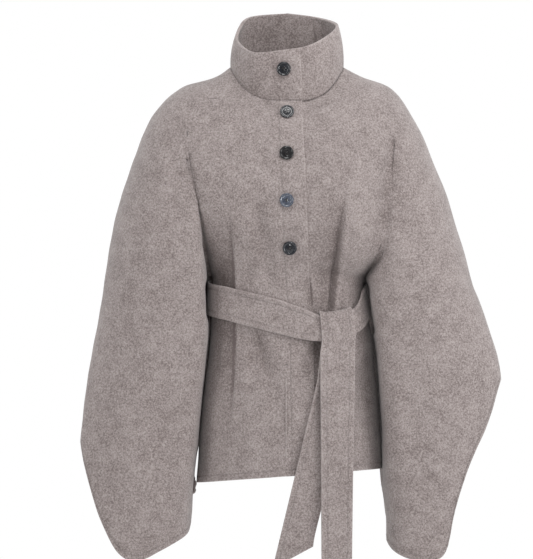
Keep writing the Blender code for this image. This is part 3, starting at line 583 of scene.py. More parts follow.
def wing(side, level, turn):
    """The wing below the underarm. turn runs 1 to 3 on its front and 3 to 5 on its back. Its rows
    ease from the level of the underarm to the line of the cuff, and its inner side lies along the
    body, clear of it and of the belt."""
    turn = np.where(turn < 1, turn + 4, np.where(turn > 5, turn - 4, turn))
    behind = turn > 3
    front_turn = np.where(behind, 6 - turn, turn)
    marks = read(WINGS[side], level)
    crest_y = np.where(behind, marks["back_y"], marks["crest_y"])
    below = level - UNDERARM
    down = below / (CUFF - UNDERARM)
    top_z = skin(side, np.full_like(level, UNDERARM), turn)[..., 2]
    edge_z = MIDDLE["front_z"][-1] + (CUFFS[side]["z"][0] - MIDDLE["front_z"][-1]) * down
    past_belt = ease((edge_z - BELT_LOWEST[side]) / BELT_EASE)
    clear = BODY_CLEARANCE + BELT_CLEARANCE * past_belt * ease(below / CLEARANCE_LEVELS)
    parting = np.clip(below / OPENING_LEVELS, 0, 1)
    start_y = np.where(behind, 1, -1) * UNDERARM_HALF * (1 - parting)
    inner = np.clip(front_turn - 1, 0, 1) * math.pi / 2
    inner_y = start_y + (crest_y - start_y) * np.sin(inner) ** (2 / marks["round"])
    depth = np.clip(inner_y / crest_y, 0, 1)
    front_x = marks["fold_x"] + FOLD_GAP
    past_hem = ease((BODY["z"][-1] - edge_z) / HEM_EASE)
    seam_x = body_reach(side, 0, edge_z) + clear
    seam_x = seam_x + (front_x + BODY_CLEARANCE - seam_x) * past_hem
    tuck = BACK_TUCK * (1 - past_hem)
    edge_x = np.where(behind, seam_x - tuck * np.sin(inner), seam_x + (front_x - seam_x) * depth)
    inner_x = marks["crest_x"] + (edge_x - marks["crest_x"]) * np.cos(inner) ** marks["crisp"]
    inner_x = inner_x - lapped(side, level, inner, behind)
    least_x = body_reach(side, inner_y, edge_z) + clear
    inner_x = np.maximum(inner_x, least_x + (front_x - least_x) * past_hem)
    outer_x, outer_y = outer_quarter(marks, front_turn, crest_y)
    on_inner = front_turn < 2
    x = np.where(on_inner, inner_x, outer_x)
    y = np.where(on_inner, inner_y, outer_y)
    share = np.clip((x - front_x) / (marks["over_x"] - front_x), 0, 1)
    lift = BACK_HEM_LIFT * np.sin(np.clip(turn - 3, 0, 2) * math.pi / 2)
    low_z = cuff_height(side, share) + lift
    return stack(side * x, y, top_z + (low_z - top_z) * down)


def closing_x(z):
    """How far the upper front reaches past the middle at a height."""
    return np.interp(z, CLOSING_EDGE["z"], CLOSING_EDGE["x"])


def closing_turn(surface, level):
    """turn of the upper front's edge on the wearer's left side, where x is the edge's own."""
    guess = np.full_like(level, FIRST_TURN)
    for _ in range(BETTERED):
        point = surface(1, level, guess)
        wide = surface(1, level, np.ones_like(level))[..., 0]
        edge = closing_x(point[..., 2])
        guess = np.arcsin(np.clip(edge / wide, 0, 1)) * 2 / math.pi
    return guess


def trough(points, fold):
    """How far one fold pushes the cloth in: a bell-shaped trough round its line, eased in and out at
    its ends. A fold that leans is steep on one side and slow on the other."""
    drop = (fold["top_z"] - points[..., 2]) / (fold["top_z"] - fold["bottom_z"])
    middle = np.clip(drop, 0, 1)
    line_x = fold["top_x"] + (fold["bottom_x"] - fold["top_x"]) * drop
    line_x = line_x + fold["bow"] * 4 * middle * (1 - middle)
    off = (points[..., 0] - line_x) / fold["width"]
    fade = ease(drop / FOLD_START) * ease((1 - drop) / FOLD_END)
    steep = FOLD_STEEP if fold["lean"] else 1.0
    wide = np.where(off * fold["lean"] > 0, FOLD_SLOW, steep)
    return fold["depth"] * fade * np.exp(-((off / wide) ** 2))


def fold_depth(points, folds):
    """How far all the folds of a table push the cloth in together."""
    depth = np.zeros(points.shape[:-1])
    for fold in each_row(folds):
        depth += trough(points, fold)
    return depth


def crease_shade(points, folds):
    """Painted shade of the cloth at each point, by the depth of every fold there, and more in a
    narrow one than in a wide one."""
    shade = np.zeros(points.shape[:-1])
    for fold in each_row(folds):
        shade += trough(points, fold) / (NARROW_SHADE if fold["width"] < NARROW else WIDE_SHADE)
    return shade


def wave_height(points):
    """Slow uneven waves of the cloth: sines of x and z added up."""
    height = np.zeros(points.shape[:-1])
    for across, down, tall, shift in zip(*WAVES.values()):
        height += tall * np.sin(math.tau * (points[..., 0] / across + points[..., 2] / down) + shift)
    return height


def pushed_under(points):
    """Depth that the left front sinks under the right front's edge, easing out past it."""
    past_edge = points[..., 0] - closing_x(points[..., 2])
    share = 1 - ease((past_edge - PUSH_START) / (PUSH_END - PUSH_START))
    return (CLOTH + LAYER_GAP) * share


def grid_index(points):
    """Point numbers of a grid."""
    return np.arange(points.shape[0] * points.shape[1]).reshape(points.shape[:2])


def grid_faces(index):
    """Quads between neighbouring rows and columns of a grid of point numbers."""
    corners = (index[:-1, :-1], index[1:, :-1], index[1:, 1:], index[:-1, 1:])
    return np.stack([c.ravel() for c in corners], axis=1)


def point_normals(points, faces):
    """Unit normals at points: the cross products of the faces' diagonals, added up at each corner."""
    across = points[faces[:, 2]] - points[faces[:, 0]]
    down = points[faces[:, 3]] - points[faces[:, 1]]
    face_normal = np.cross(across, down)
    total = np.zeros_like(points)
    for k in range(4):
        np.add.at(total, faces[:, k], face_normal)
    return unit(total)


def distance_down(points, from_end):
    """Length of cloth from the first row, or from the last, to every point of a grid."""
    steps = np.linalg.norm(np.diff(points, axis=0), axis=-1)
    if from_end:
        steps = steps[::-1]
    run = np.concatenate([np.zeros((1, points.shape[1])), np.cumsum(steps, axis=0)])
    return run[::-1] if from_end else run


def distance_across(points, from_end):
    """The same along the rows, from the first column or from the last."""
    return distance_down(points.swapaxes(0, 1), from_end).T


def distance_from_sides(points):
    """The same from the nearer of the first and the last column."""
    return np.minimum(distance_across(points, True), distance_across(points, False))


def cells(start, counts):
    """Levels from one on, with a count of cells up to each next one."""
    parts = [start + i + np.arange(n) / n for i, n in enumerate(counts)]
    return np.concatenate([*parts, [start + len(counts)]])


def spaced(start, end, count):
    """Turns from start to end with a count of columns between them."""
    return np.linspace(start, end, count + 1)


def patch(surface, side, rows, turns):
    """Points of a grid. turns is one value a column, or one row of them a row."""
    level = np.broadcast_to(rows[:, None], (len(rows), np.shape(turns)[-1])).astype(float)
    turn = np.broadcast_to(turns, level.shape).astype(float)
    return surface(side, level, turn)


def trim_seam(points, column):
    """Moves one edge column half a seam gap into its own panel, square to the seam."""
    edge = points[:, column]
    inside = (points[:, 1] if column == 0 else points[:, -2]) - edge
    seam = unit(np.gradient(edge, axis=0))
    inside = inside - seam * np.sum(inside * seam, axis=-1, keepdims=True)
    points[:, column] = edge + unit(inside) * SEAM_GAP / 2


class Panel:
    """One cut piece of the coat: grids that share points and know how far each point lies from the
    hem, from the front edge and from the nearest seam."""

    def __init__(self):
        self.points = []
        self.marks = {"hem": [], "edge": [], "seam": []}
        self.faces = []
        self.count = 0

    def add(self, points, hem=None, edge=None, seam=None):
        """Adds a grid and returns its point numbers. Distances are capped."""
        index = self.count + grid_index(points)
        self.points.append(points.reshape(-1, 3))
        for name, gap in (("hem", hem), ("edge", edge), ("seam", seam)):
            gap = np.full(points.shape[:2], FAR) if gap is None else gap
            self.marks[name].append(np.minimum(gap, FAR).ravel())
        self.count += index.size
        return index

    def join(self, index):
        """Adds the quads of a grid of point numbers."""
        self.faces.append(grid_faces(index))

    def shape(self, displace):
        """Points pushed in by displace along their normals, their new normals, faces and marks."""
        points = np.concatenate(self.points)
        faces = np.concatenate(self.faces)
        marks = {name: np.concatenate(parts) for name, parts in self.marks.items()}
        marks["free"] = np.minimum(marks["hem"], marks["edge"])
        normal = point_normals(points, faces)
        if np.sum(normal * (points - points.mean(0))) < 0:
            faces = faces[:, ::-1]
            normal = -normal
        points = points - normal * displace(points)[:, None]
        return points, point_normals(points, faces), faces, marks


def linked(name, data):
    """An object of the scene that holds some data."""
    placed = bpy.data.objects.new(name, data)
    bpy.context.scene.collection.objects.link(placed)
    return placed


def mesh_object(name, points, faces, finish, marks=None):
    """A smooth mesh at the origin with a finish and named numbers at its points."""
    mesh = bpy.data.meshes.new(name)
    mesh.from_pydata((points * MM).tolist(), [], faces.tolist())
    for mark, value in (marks or {}).items():
        attribute = mesh.attributes.new(mark, "FLOAT", "POINT")
        attribute.data.foreach_set("value", np.asarray(value, np.float32))
    mesh.shade_smooth()
    mesh.materials.append(finish)
    placed = linked(name, mesh)
    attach(placed, "root")
    return placed


def wall(name, outer, inner, faces, finish, marks, round_edge=ROUND_EDGE):
    """Closed wall between two layers of the same grid, with a rounded rim along every free edge: the
    rim's long edges have a bevel weight, found by a number that is the edge's own."""
    edges = np.concatenate([faces[:, [k, (k + 1) % 4]] for k in range(4)])
    ends = np.sort(edges, axis=1)
    _, first, count = np.unique(ends, axis=0, return_index=True, return_counts=True)
    free = edges[first[count == 1]]
    shift = len(outer)
    rim = np.stack([free[:, 1], free[:, 0], free[:, 0] + shift, free[:, 1] + shift], axis=1)
    every = np.concatenate([faces, faces[:, ::-1] + shift, rim])
    both = {mark: np.concatenate([value, value]) for mark, value in marks.items()}
    placed = mesh_object(name, np.concatenate([outer, inner]), every, finish, both)
    ends = np.zeros(2 * len(placed.data.edges), np.int32)
    placed.data.edges.foreach_get("vertices", ends)
    number = [2 * shift, 1]
    rim_numbers = np.sort(np.concatenate([free, free + shift]), axis=1) @ number
    on_rim = np.isin(np.sort(ends.reshape(-1, 2), axis=1) @ number, rim_numbers)
    weight = placed.data.attributes.new("bevel_weight_edge", "FLOAT", "EDGE")
    weight.data.foreach_set("value", on_rim.astype(np.float32))
    bevel = placed.modifiers.new("rounded_rim", "BEVEL")
    bevel.width = round_edge * MM
    bevel.segments = ROUND_STEPS
    bevel.limit_method = "WEIGHT"
    return placed


def front_panel(side):
    """The front on one side, cut in one with its wing's front. The right one runs past the middle
    as the upper layer, and the left one runs under it. Returns the panel and its grids' numbers."""
    panel = Panel()
    chest = spaced(0, 1, CHEST_COLUMNS)
    wing_turns = np.concatenate(
        [spaced(1 + TURN_END, 2, INNER_COLUMNS), spaced(2, 3, OUTER_COLUMNS)[1:]]
    )
    reach = np.linspace(1, 0, REACH_COLUMNS + 1)[:-1]
    upper_rows = cells(0, UPPER_CELLS)
    body_rows = cells(UNDERARM, BODY_CELLS)[1:]
    wing_rows = cells(UNDERARM, WING_CELLS)[1:]

    def half(surface, rows):
        """Chest columns of one half, led by the columns that reach past the middle."""
        edge = closing_turn(surface, rows)
        if side > 0:
            wide = surface(-1, rows, np.ones_like(rows))[..., 0]
            under_x = closing_x(surface(1, rows, edge)[..., 2]) - UNDERLAP
            edge = np.arcsin(np.clip(under_x / wide, 0, 1)) * 2 / math.pi
        past = patch(surface, -side, rows, edge[:, None] * reach[None, :])
        return np.concatenate([past, patch(surface, side, rows, chest)], 1)

    upper = np.concatenate([half(skin, upper_rows), patch(skin, side, upper_rows, wing_turns)], 1)
    trim_seam(upper, -1)
    seam_gap = np.minimum(distance_across(upper, True), distance_down(upper, False))
    top = panel.add(upper, edge=distance_across(upper, False), seam=seam_gap)
    low = half(body, body_rows)
    trim_seam(low, -1)
    low_index = panel.add(
        low,
        hem=distance_down(low, True),
        edge=distance_across(low, False),
        seam=distance_across(low, True),
    )
    leg = patch(wing, side, wing_rows, wing_turns)
    trim_seam(leg, 0)
    trim_seam(leg, -1)
    leg_index = panel.add(leg, hem=distance_down(leg, True), seam=distance_from_sides(leg))
    split = low.shape[1]
    panel.join(top)
    panel.join(np.vstack([top[-1:, :split], low_index]))
    panel.join(np.vstack([top[-1:, split:], leg_index]))
    grids = {"hem": low_index, "cuff": leg_index, "edge": np.vstack([top[:, :split], low_index])}
    return panel, grids


def back_panel():
    """The back, cut in one with the backs of both wings. Returns the panel and its grids' numbers."""
    panel = Panel()
    wing_turns = np.concatenate(
        [spaced(3 + TURN_END, 4, BACK_OUTER_COLUMNS), spaced(4, 5 - TURN_END, BACK_INNER_COLUMNS)[1:]]
    )
    back_turns = spaced(5, 6, BACK_COLUMNS)
    upper_rows = cells(0, UPPER_CELLS)
    body_rows = cells(UNDERARM, BODY_CELLS)[1:]
    wing_rows = cells(UNDERARM, WING_CELLS)[1:]

    def both(surface, rows, turns):
        return patch(surface, -1, rows, turns), patch(surface, 1, rows, turns)[:, ::-1]

    wing_right, wing_left = both(skin, upper_rows, wing_turns)
    back_right, back_left = both(skin, upper_rows, back_turns)
    upper = np.concatenate([wing_right, back_right, back_left[:, 1:], wing_left], 1)
    trim_seam(upper, 0)
    trim_seam(upper, -1)
    seam_gap = np.minimum(distance_from_sides(upper), distance_down(upper, False))
    top = panel.add(upper, seam=seam_gap)
    panel.join(top)
    wide = len(wing_turns)
    torso = 2 * len(back_turns) - 1

    low_right, low_left = both(body, body_rows, back_turns - 4)
    low = np.concatenate([low_right, low_left[:, 1:]], 1)
    trim_seam(low, 0)
    trim_seam(low, -1)
    low_index = panel.add(low, hem=distance_down(low, True), seam=distance_from_sides(low))
    panel.join(np.vstack([top[-1:, wide : wide + torso], low_index]))
    grids = {"hem": low_index}

    legs = both(wing, wing_rows, wing_turns)
    for name, leg, (start, end) in zip(
        ("cuff_right", "cuff_left"), legs, ((0, wide), (wide + torso, 2 * wide + torso))
    ):
        trim_seam(leg, 0)
        trim_seam(leg, -1)
        leg_index = panel.add(leg, hem=distance_down(leg, True), seam=distance_from_sides(leg))
        panel.join(np.vstack([top[-1:, start:end], leg_index]))
        grids[name] = leg_index
    return panel, grids


def line_at(points, gap, value):
    """The line on a grid where the gap down its columns, which falls to 0, passes a value."""
    row = np.clip((gap > value).sum(axis=0) - 1, 0, len(gap) - 2)
    column = np.arange(gap.shape[1])
    high, low = gap[row, column], gap[row + 1, column]
    t = np.clip((high - value) / np.maximum(high - low, 1e-9), 0, 1)[:, None]
    return points[row, column] * (1 - t) + points[row + 1, column] * t


def stations(path, step):
    """Points a step apart along a path, with whatever else the path's rows hold."""
    run = np.concatenate([[0], np.cumsum(np.linalg.norm(np.diff(path[:, :3], axis=0), axis=1))])
    at = np.arange(step / 2, run[-1], step)
    return np.stack([np.interp(at, run, column) for column in path.T], axis=1)


def stitches(name, paths, finish):
    """Threads along paths whose rows are a point and a normal. A thread is a lens along the path: its
    radius is the root of 1 less the fourth power of the place from -1 to 1."""
    place = np.linspace(-1, 1, STITCH_RINGS)
    angle = np.linspace(0, math.tau, STITCH_SIDES, endpoint=False)
    radius = np.sqrt(np.maximum(1 - place**4, 0.02)) * STITCH_RADIUS
    shape = stack(
        place[:, None] * STITCH_LENGTH / 2 + 0 * angle,
        radius[:, None] * np.cos(angle),
        radius[:, None] * np.sin(angle),
    )
    index = grid_index(shape)
    one = grid_faces(np.hstack([index, index[:, :1]]))
    shape = shape.reshape(-1, 3)
    every, faces, count = [], [], 0
    for path in paths:
        at = stations(path, STITCH_STEP)
        forward = unit(np.gradient(at[:, :3], axis=0))
        up = unit(at[:, 3:6])
        side = unit(np.cross(up, forward))
        up = np.cross(forward, side)
        frames = np.stack([forward, side, up], axis=1)
        placed = at[:, None, :3] + np.einsum("pk,nkj->npj", shape, frames)
        every.append(placed.reshape(-1, 3))
        starts = count + np.arange(len(at)) * len(shape)
        faces.append((one[None] + starts[:, None, None]).reshape(-1, 4))
        count += len(at) * len(shape)
    return mesh_object(name, np.concatenate(every), np.concatenate(faces), finish)


def stitch_paths(points, normal, gap, lines):
    """Paths with normals on numbered grids. A line is a grid of point numbers, the mark that it
    keeps to, its distance by that mark, and how many points are left out at each end."""
    both = np.concatenate([points, normal], axis=1)
    paths = []
    for index, gap_name, value, skip in lines:
        grid = both[index]
        away = gap[gap_name][index]
        if gap_name == "edge":
            grid, away = grid.swapaxes(0, 1)[::-1], away.T[::-1]
        path = line_at(grid, away, value)
        paths.append(path[skip : len(path) - skip])
    return paths


def build_front(side, wool, thread):
    """One front with its stitched hem, cuff and, on the right one, placket."""
    panel, grids = front_panel(side)

    def displace(points):
        inward = fold_depth(points, FRONT_FOLDS) + wave_height(points)
        return inward + pushed_under(points) if side > 0 else inward

    outer, normal, faces, marks = panel.shape(displace)
    name = "front_left" if side > 0 else "front_right"
    if side > 0:
        marks["edge"] = np.full_like(marks["edge"], FAR)
    # Painted shade: the cloth is darkened in its folds and creases by their depth.
    marks["crease"] = crease_shade(outer, FRONT_FOLDS)
    piece = wall(name + "_cloth", outer, outer - normal * CLOTH, faces, wool, marks)
    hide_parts(name)
    lines = [(grids["hem"], "hem", HEM_STITCH, 3), (grids["cuff"], "hem", HEM_STITCH, 3)]
    if side < 0:
        lines.append((grids["edge"], "edge", PLACKET_STITCH, 4))
    sewn = stitches(name + "_stitches", stitch_paths(outer, normal, marks, lines), thread)
    return piece


def build_back(wool, thread):
    """The back with its stitched hem and cuffs."""
    panel, grids = back_panel()
    outer, normal, faces, marks = panel.shape(
        lambda points: fold_depth(points, BACK_FOLDS) + wave_height(points)
    )
    # Painted shade: the cloth is darkened in its folds and creases by their depth.
    marks["crease"] = crease_shade(outer, BACK_FOLDS)
    piece = wall("back_cloth", outer, outer - normal * CLOTH, faces, wool, marks)
    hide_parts("back")
    lines = [(grids[name], "hem", HEM_STITCH, 3) for name in ("hem", "cuff_right", "cuff_left")]
    sewn = stitches("back_stitches", stitch_paths(outer, normal, marks, lines), thread)
    return piece


def angled(column, turn, table_of):
    """Smooth value of a column at turns in degrees, where the rows go once round."""
    rows = np.interp(turn, table_of["turn"], np.arange(len(table_of["turn"])))
    return along(table_of[column], rows)


def wrapped(turn):
    """The same turn in the range from -180 to 180."""
    return (turn + 180) % 360 - 180


def neck(turn):
    """The neck seam at turns in degrees from the middle front towards the wearer's left: an oval
    whose height rises by a power of the sine."""
    middle = {name: column[0] for name, column in MIDDLE.items()}
    over = {name: column[0] for name, column in WING_RIGHT.items()}
    angle = np.radians(turn)
    in_front = np.cos(angle) > 0
    middle_y = np.where(in_front, middle["front_y"], middle["back_y"])
    middle_z = np.where(in_front, middle["front_z"], middle["back_z"])
    x = over["over_x"] * np.sin(angle)
    y = middle_y * np.abs(np.cos(angle))
    z = middle_z + (over["over_z"] - middle_z) * np.abs(np.sin(angle)) ** middle["rise"]
    return stack(x, y, z)


def facing_out(points, outward):
    """Faces and normals of a single grid, on the side that outward points to."""
    faces = grid_faces(grid_index(points))
    flat = points.reshape(-1, 3)
    normal = point_normals(flat, faces)
    if np.sum(normal * outward.reshape(-1, 3)) < 0:
        faces, normal = faces[:, ::-1], -normal
    return flat, normal, faces


def collar_shade(turn, height):
    """Painted shade in soft bands round the collar, each a bell round a turn, fading towards the rim.
    """
    shade = 0 * turn * height
    for at, wide, deep in zip(*COLLAR_SHADE_BANDS.values()):
        shade = shade + deep * np.exp(-(((turn - at) / wide) ** 2)) * (1 - height**3)
    return shade


def build_collar(wool):
    """A strip that climbs from the neck seam to its rim. It starts on top at the upper front's
    edge, runs round the neck and ends under its own start."""
    turn = COLLAR_EDGE_TURN - np.linspace(0, 1, COLLAR_COLUMNS) * (
        360 + COLLAR_EDGE_TURN - COLLAR_UNDER_TURN
    )
    round_neck = wrapped(turn)
    foot = neck(round_neck)
    rim = stack(*(angled(name, round_neck, COLLAR_RIM) for name in "xyz"))
    height = np.linspace(0, 1, COLLAR_ROWS)[:, None, None]
    points = foot + (rim - foot) * height
    away = stack(np.sin(np.radians(round_neck)), -np.cos(np.radians(round_neck)), 0 * turn)
    points = points + away * COLLAR_BOW * 4 * height * (1 - height)
    under = ease((-turn - 360 + COLLAR_EDGE_TURN + COLLAR_EASE) / COLLAR_EASE)[None, :, None]
    points = points - away * (COLLAR_CLOTH + LAYER_GAP) * under
    points[..., 2] += COLLAR_LIFT - COLLAR_UNDER_DROP * (under * (1 - height))[..., 0]
    outer, normal, faces = facing_out(points, np.broadcast_to(away, points.shape))
    inner = (outer - normal * COLLAR_CLOTH).reshape(points.shape)
    inner[0, :, 2] = points[0, :, 2]
    far = np.full(points[..., 0].size, FAR)
    free = np.minimum(distance_down(points, True), distance_across(points, False))
    marks = {
        "hem": far,
        "edge": far,
        "seam": np.minimum(distance_down(points, False), FAR).ravel(),
        "free": np.minimum(free, FAR).ravel(),
        # Painted shade in soft bands round the collar.
        "crease": collar_shade(turn, height[..., 0]).ravel(),
    }
    piece = wall("collar_cloth", outer, inner.reshape(-1, 3), faces, wool, marks, ROUND_DOUBLED)
    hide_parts("collar")
    return piece


def waist(turn, z):
    """Point on the body at a turn in degrees and a height, and the level outward direction."""
    level = level_at(z)

    def at(turned):
        turned = wrapped(turned)
        quarters = np.abs(turned) / 90
        right = body(-1, level, quarters)
        left = body(1, level, quarters)
        return np.where(turned[..., None] < 0, right, left)

    step = at(turn + 1) - at(turn - 1)
    outward = unit(stack(step[..., 1], -step[..., 0], 0 * turn))
    point = at(turn)
    point[..., 2] = z
    return point, outward


def belt_marks(points):
    """Distance of every point of a belt's grid, whose rows run across it, from its nearer edge."""
    hem = np.minimum(distance_down(points, True), distance_down(points, False)).ravel()
    far = np.full(hem.shape, FAR)
    return {"hem": hem, "edge": far, "seam": far, "free": hem, "crease": 0 * far}


def belt_paths(points, normal, value):
    """Two stitch lines along a belt's grid, whose rows run across it."""
    both = np.concatenate([points, normal.reshape(points.shape)], axis=-1)
    low = line_at(both, distance_down(points, True), value)
    high = line_at(both[::-1], distance_down(points[::-1], True), value)
    return [low, high]


def build_waist_belt(wool, thread):
    """The stretch of the belt that goes round the waist, square to the body all the way."""
    turn = np.linspace(-180, 180, BELT_COLUMNS + 1)
    belt = {name: angled(name, turn, WAIST_BELT) for name in WAIST_BELT}
    across = np.linspace(0.5, -0.5, BELT_ROWS)[:, None]
    z = belt["z"] + across * belt["width"]
    point, outward = waist(np.broadcast_to(turn, z.shape), z)
    inner = point + outward * belt["standoff"][:, None]
    outer = inner + outward * BELT_CLOTH
    closed = outer[:, :-1]
    index = grid_index(closed)
    faces = grid_faces(np.hstack([index, index[:, :1]]))
    flat = closed.reshape(-1, 3)
    normal = point_normals(flat, faces)
    if np.sum(normal * outward[:, :-1].reshape(-1, 3)) < 0:
        faces = faces[:, ::-1]
    back = inner[:, :-1].reshape(-1, 3)
    marks = belt_marks(closed)
    piece = wall("belt_wrap_cloth", flat, back, faces, wool, marks, ROUND_DOUBLED)
    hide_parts("belt_wrap")
    sewn = stitches("belt_wrap_stitches", belt_paths(outer, outward, BELT_STITCH), thread)
    return piece


def belt_layer(turn, z, lift):
    """Points at a height above the inner face of the waist belt, lift millimetres out of it."""
    point, outward = waist(turn, z)
    standoff = angled("standoff", turn, WAIST_BELT)
    return point + outward * (standoff + lift)[..., None]


def free_length(edges, count):
    """Grid of the outer face of a belt end where it hangs free, straight from edge to edge."""
    rows = np.linspace(0, len(edges["left_z"]) - 1, count)
    left = stack(*(along(edges["left_" + axis], rows) for axis in "xyz"))
    right = stack(*(along(edges["right_" + axis], rows) for axis in "xyz"))
    across = np.linspace(0, 1, TIE_COLUMNS)[None, :, None]
    return left[:, None] + (right - left)[:, None] * across


def behind(points):
    """The same grid a belt's thickness further back, square to the belt's width."""
    width = points[:, -1:] - points[:, :1]
    back = unit(stack(-width[..., 1], width[..., 0], 0 * width[..., 0]))
    return points + back * BELT_CLOTH


def knot_turns():
    """Turns of the columns where the belt's ends leave the knot."""
    return np.linspace(KNOT_START, KNOT_END, TIE_COLUMNS)


def resampled(grid, count):
    """A grid with its rows spaced evenly along its middle column, on smooth curves."""
    middle = grid[:, grid.shape[1] // 2]
    run = np.concatenate([[0], np.cumsum(np.linalg.norm(np.diff(middle, axis=0), axis=1))])
    rows = np.interp(np.linspace(0, run[-1], count), run, np.arange(len(run)))
    low = np.minimum(rows.astype(int), len(grid) - 2)
    t = (rows - low)[:, None, None]
    return grid[low] * (1 - t) + grid[low + 1] * t


def build_tie(name, outer, inner, wool, thread):
    """A belt end from the grids of its two faces, with a stitch line along each edge."""
    flat, normal, faces = facing_out(outer, outer - inner)
    across = outer.swapaxes(0, 1)
    marks = belt_marks(across)
    marks = {key: value.reshape(across.shape[:2]).T.ravel() for key, value in marks.items()}
    end_gap = distance_down(outer, True).ravel()
    marks["hem"] = np.minimum(marks["hem"], end_gap)
    marks["free"] = marks["hem"]
    piece = wall(name + "_cloth", flat, inner.reshape(-1, 3), faces, wool, marks, ROUND_DOUBLED)
    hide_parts(name)
    turned_normal = normal.reshape(outer.shape).swapaxes(0, 1)
    sewn = stitches(
        name + "_stitches", belt_paths(across, turned_normal.reshape(-1, 3), BELT_STITCH), thread
    )
    return piece


def build_tie_over(wool, thread):
    """The belt end on top: it comes up behind the waist belt, folds over its upper edge, lies on it
    and hangs down. The fold is half a ring round the waist belt's upper edge."""
    turn = knot_turns()
    middle = angled("z", turn, WAIST_BELT)
    half = angled("width", turn, WAIST_BELT) / 2
    bend = np.radians(np.linspace(180, 0, KNOT_STEPS))[:, None]

    def face(radius):
        """Rows of one face: up behind the waist belt, round its edge and down in front."""
        rows = [belt_layer(turn, middle + half - BELT_FOLD_BACK, BELT_CLOTH / 2 - radius + 0 * turn)]
        z = middle + half + radius * np.sin(bend)
        lift = BELT_CLOTH / 2 + radius * np.cos(bend)
        rows += [belt_layer(turn, z_row, lift_row) for z_row, lift_row in zip(z, lift)]
        rows += [
            belt_layer(turn, middle - half * down, BELT_CLOTH / 2 + radius + 0 * turn)
            for down in (0.0, 0.9)
        ]
        return np.stack(rows)

    hanging = free_length(TIE_OVER, TIE_ROWS)
    near = BELT_CLOTH / 2 + BELT_TIE_GAP
    outer = resampled(np.concatenate([face(near + BELT_CLOTH), hanging]), 2 * TIE_ROWS)
    inner = resampled(np.concatenate([face(near), behind(hanging)]), 2 * TIE_ROWS)
    return build_tie("belt_tie_over", outer, inner, wool, thread)


def build_tie_under(wool, thread):
    """The belt end below: it leaves the lower edge of the waist belt behind the upper end."""
    turn = knot_turns()
    low = angled("z", turn, WAIST_BELT) - angled("width", turn, WAIST_BELT) / 2 - BELT_TIE_GAP
    hanging = free_length(TIE_UNDER, TIE_ROWS)
    start_outer = belt_layer(turn, low, BELT_CLOTH + 0 * turn)[None]
    start_inner = belt_layer(turn, low, 0 * turn)[None]
    outer = resampled(np.concatenate([start_outer, hanging]), 2 * TIE_ROWS)
    inner = resampled(np.concatenate([start_inner, behind(hanging)]), 2 * TIE_ROWS)
    return build_tie("belt_tie_under", outer, inner, wool, thread)


def turned(profile, sides):
    """Points and faces of a solid of revolution about Z from radii and heights, flat at both ends."""
    angle = np.linspace(0, math.tau, sides, endpoint=False)
    radius, height = np.array(profile, float).T
    points = stack(np.outer(radius, np.cos(angle)), np.outer(radius, np.sin(angle)), height[:, None])
    index = grid_index(points)
    quads = grid_faces(np.hstack([index, index[:, :1]]))[:, ::-1]
    faces = [*quads.tolist(), index[0][::-1].tolist(), index[-1].tolist()]
    return points.reshape(-1, 3), faces


def loose_object(name, points, faces):
    """An object for a moment's use, without a finish."""
    mesh = bpy.data.meshes.new(name)
    mesh.from_pydata((points * MM).tolist(), [], faces)
    return linked(name, mesh)


def button_mesh():
    """A disc with a raised rounded rim and a low dome inside a groove, facing +Z, with four holes
    drilled. The profile's table gives shares of the radius and of the thickness, from the back
    round the edge."""
    radius = BUTTON_PROFILE["across"] * BUTTON_RADIUS
    height = BUTTON_PROFILE["up"] * BUTTON_THICKNESS
    disc = loose_object("button_disc", *turned(list(zip(radius, height)), BUTTON_SIDES))
    drill = tuple((BUTTON_HOLE_RADIUS, up * BUTTON_THICKNESS) for up in (-1, 2))
    cutters = []
    for dx, dy in ((-1, -1), (-1, 1), (1, -1), (1, 1)):
        cutter = loose_object("drill", *turned(drill, HOLE_SIDES))
        cutter.location = (dx * BUTTON_HOLE_OFFSET * MM, dy * BUTTON_HOLE_OFFSET * MM, 0)
        cut = disc.modifiers.new("hole", "BOOLEAN")
        cut.operation = "DIFFERENCE"
        cut.object = cutter
        cutters.append(cutter)
    bpy.context.view_layer.update()
    ready = disc.evaluated_get(bpy.context.evaluated_depsgraph_get())
    drilled = bpy.data.meshes.new_from_object(ready)
    for used in [disc, *cutters]:
        bpy.data.objects.remove(used)
    drilled.shade_smooth()
    drilled.set_sharp_from_angle(angle=math.radians(BUTTON_CREASE))
    return drilled


def thread_cross():
    """Two crossed pairs of threads between the holes: tubes whose height is an arch, 1 less the
    fourth power of the place from -1 to 1. Returns points and faces."""
    reach = BUTTON_HOLE_OFFSET * math.sqrt(2)
    base = BUTTON_THICKNESS * THREAD_FOOT
    t = np.linspace(-1, 1, THREAD_STEPS)[:, None]
    angle = np.linspace(0, math.tau, THREAD_SIDES, endpoint=False)
    up = np.array([0, 0, 1])
    points, faces, count = [], [], 0
    for turn, extra in ((0.25, 0.0), (0.75, THREAD_OVER)):
        way = np.array([math.cos(turn * math.pi), math.sin(turn * math.pi), 0])
        sideways = np.array([-way[1], way[0], 0])
        for shift in (-THREAD_APART, THREAD_APART):
            line = way * reach * t + sideways * shift
            line = line + up * (base + (THREAD_ARCH + extra) * (1 - t**4))
            ring = sideways * np.cos(angle)[:, None] + up * np.sin(angle)[:, None]
            tube = line[:, None] + ring[None] * THREAD_RADIUS
            index = grid_index(tube) + count
            faces.append(grid_faces(np.hstack([index, index[:, :1]])))
            points.append(tube.reshape(-1, 3))
            count += tube.shape[0] * tube.shape[1]
    return np.concatenate(points), np.concatenate(faces)


def surface_of(placed):
    """The piece's faces as a tree that a ray can hit."""
    mesh = placed.data
    return BVHTree.FromPolygons([v.co for v in mesh.vertices], [p.vertices for p in mesh.polygons])


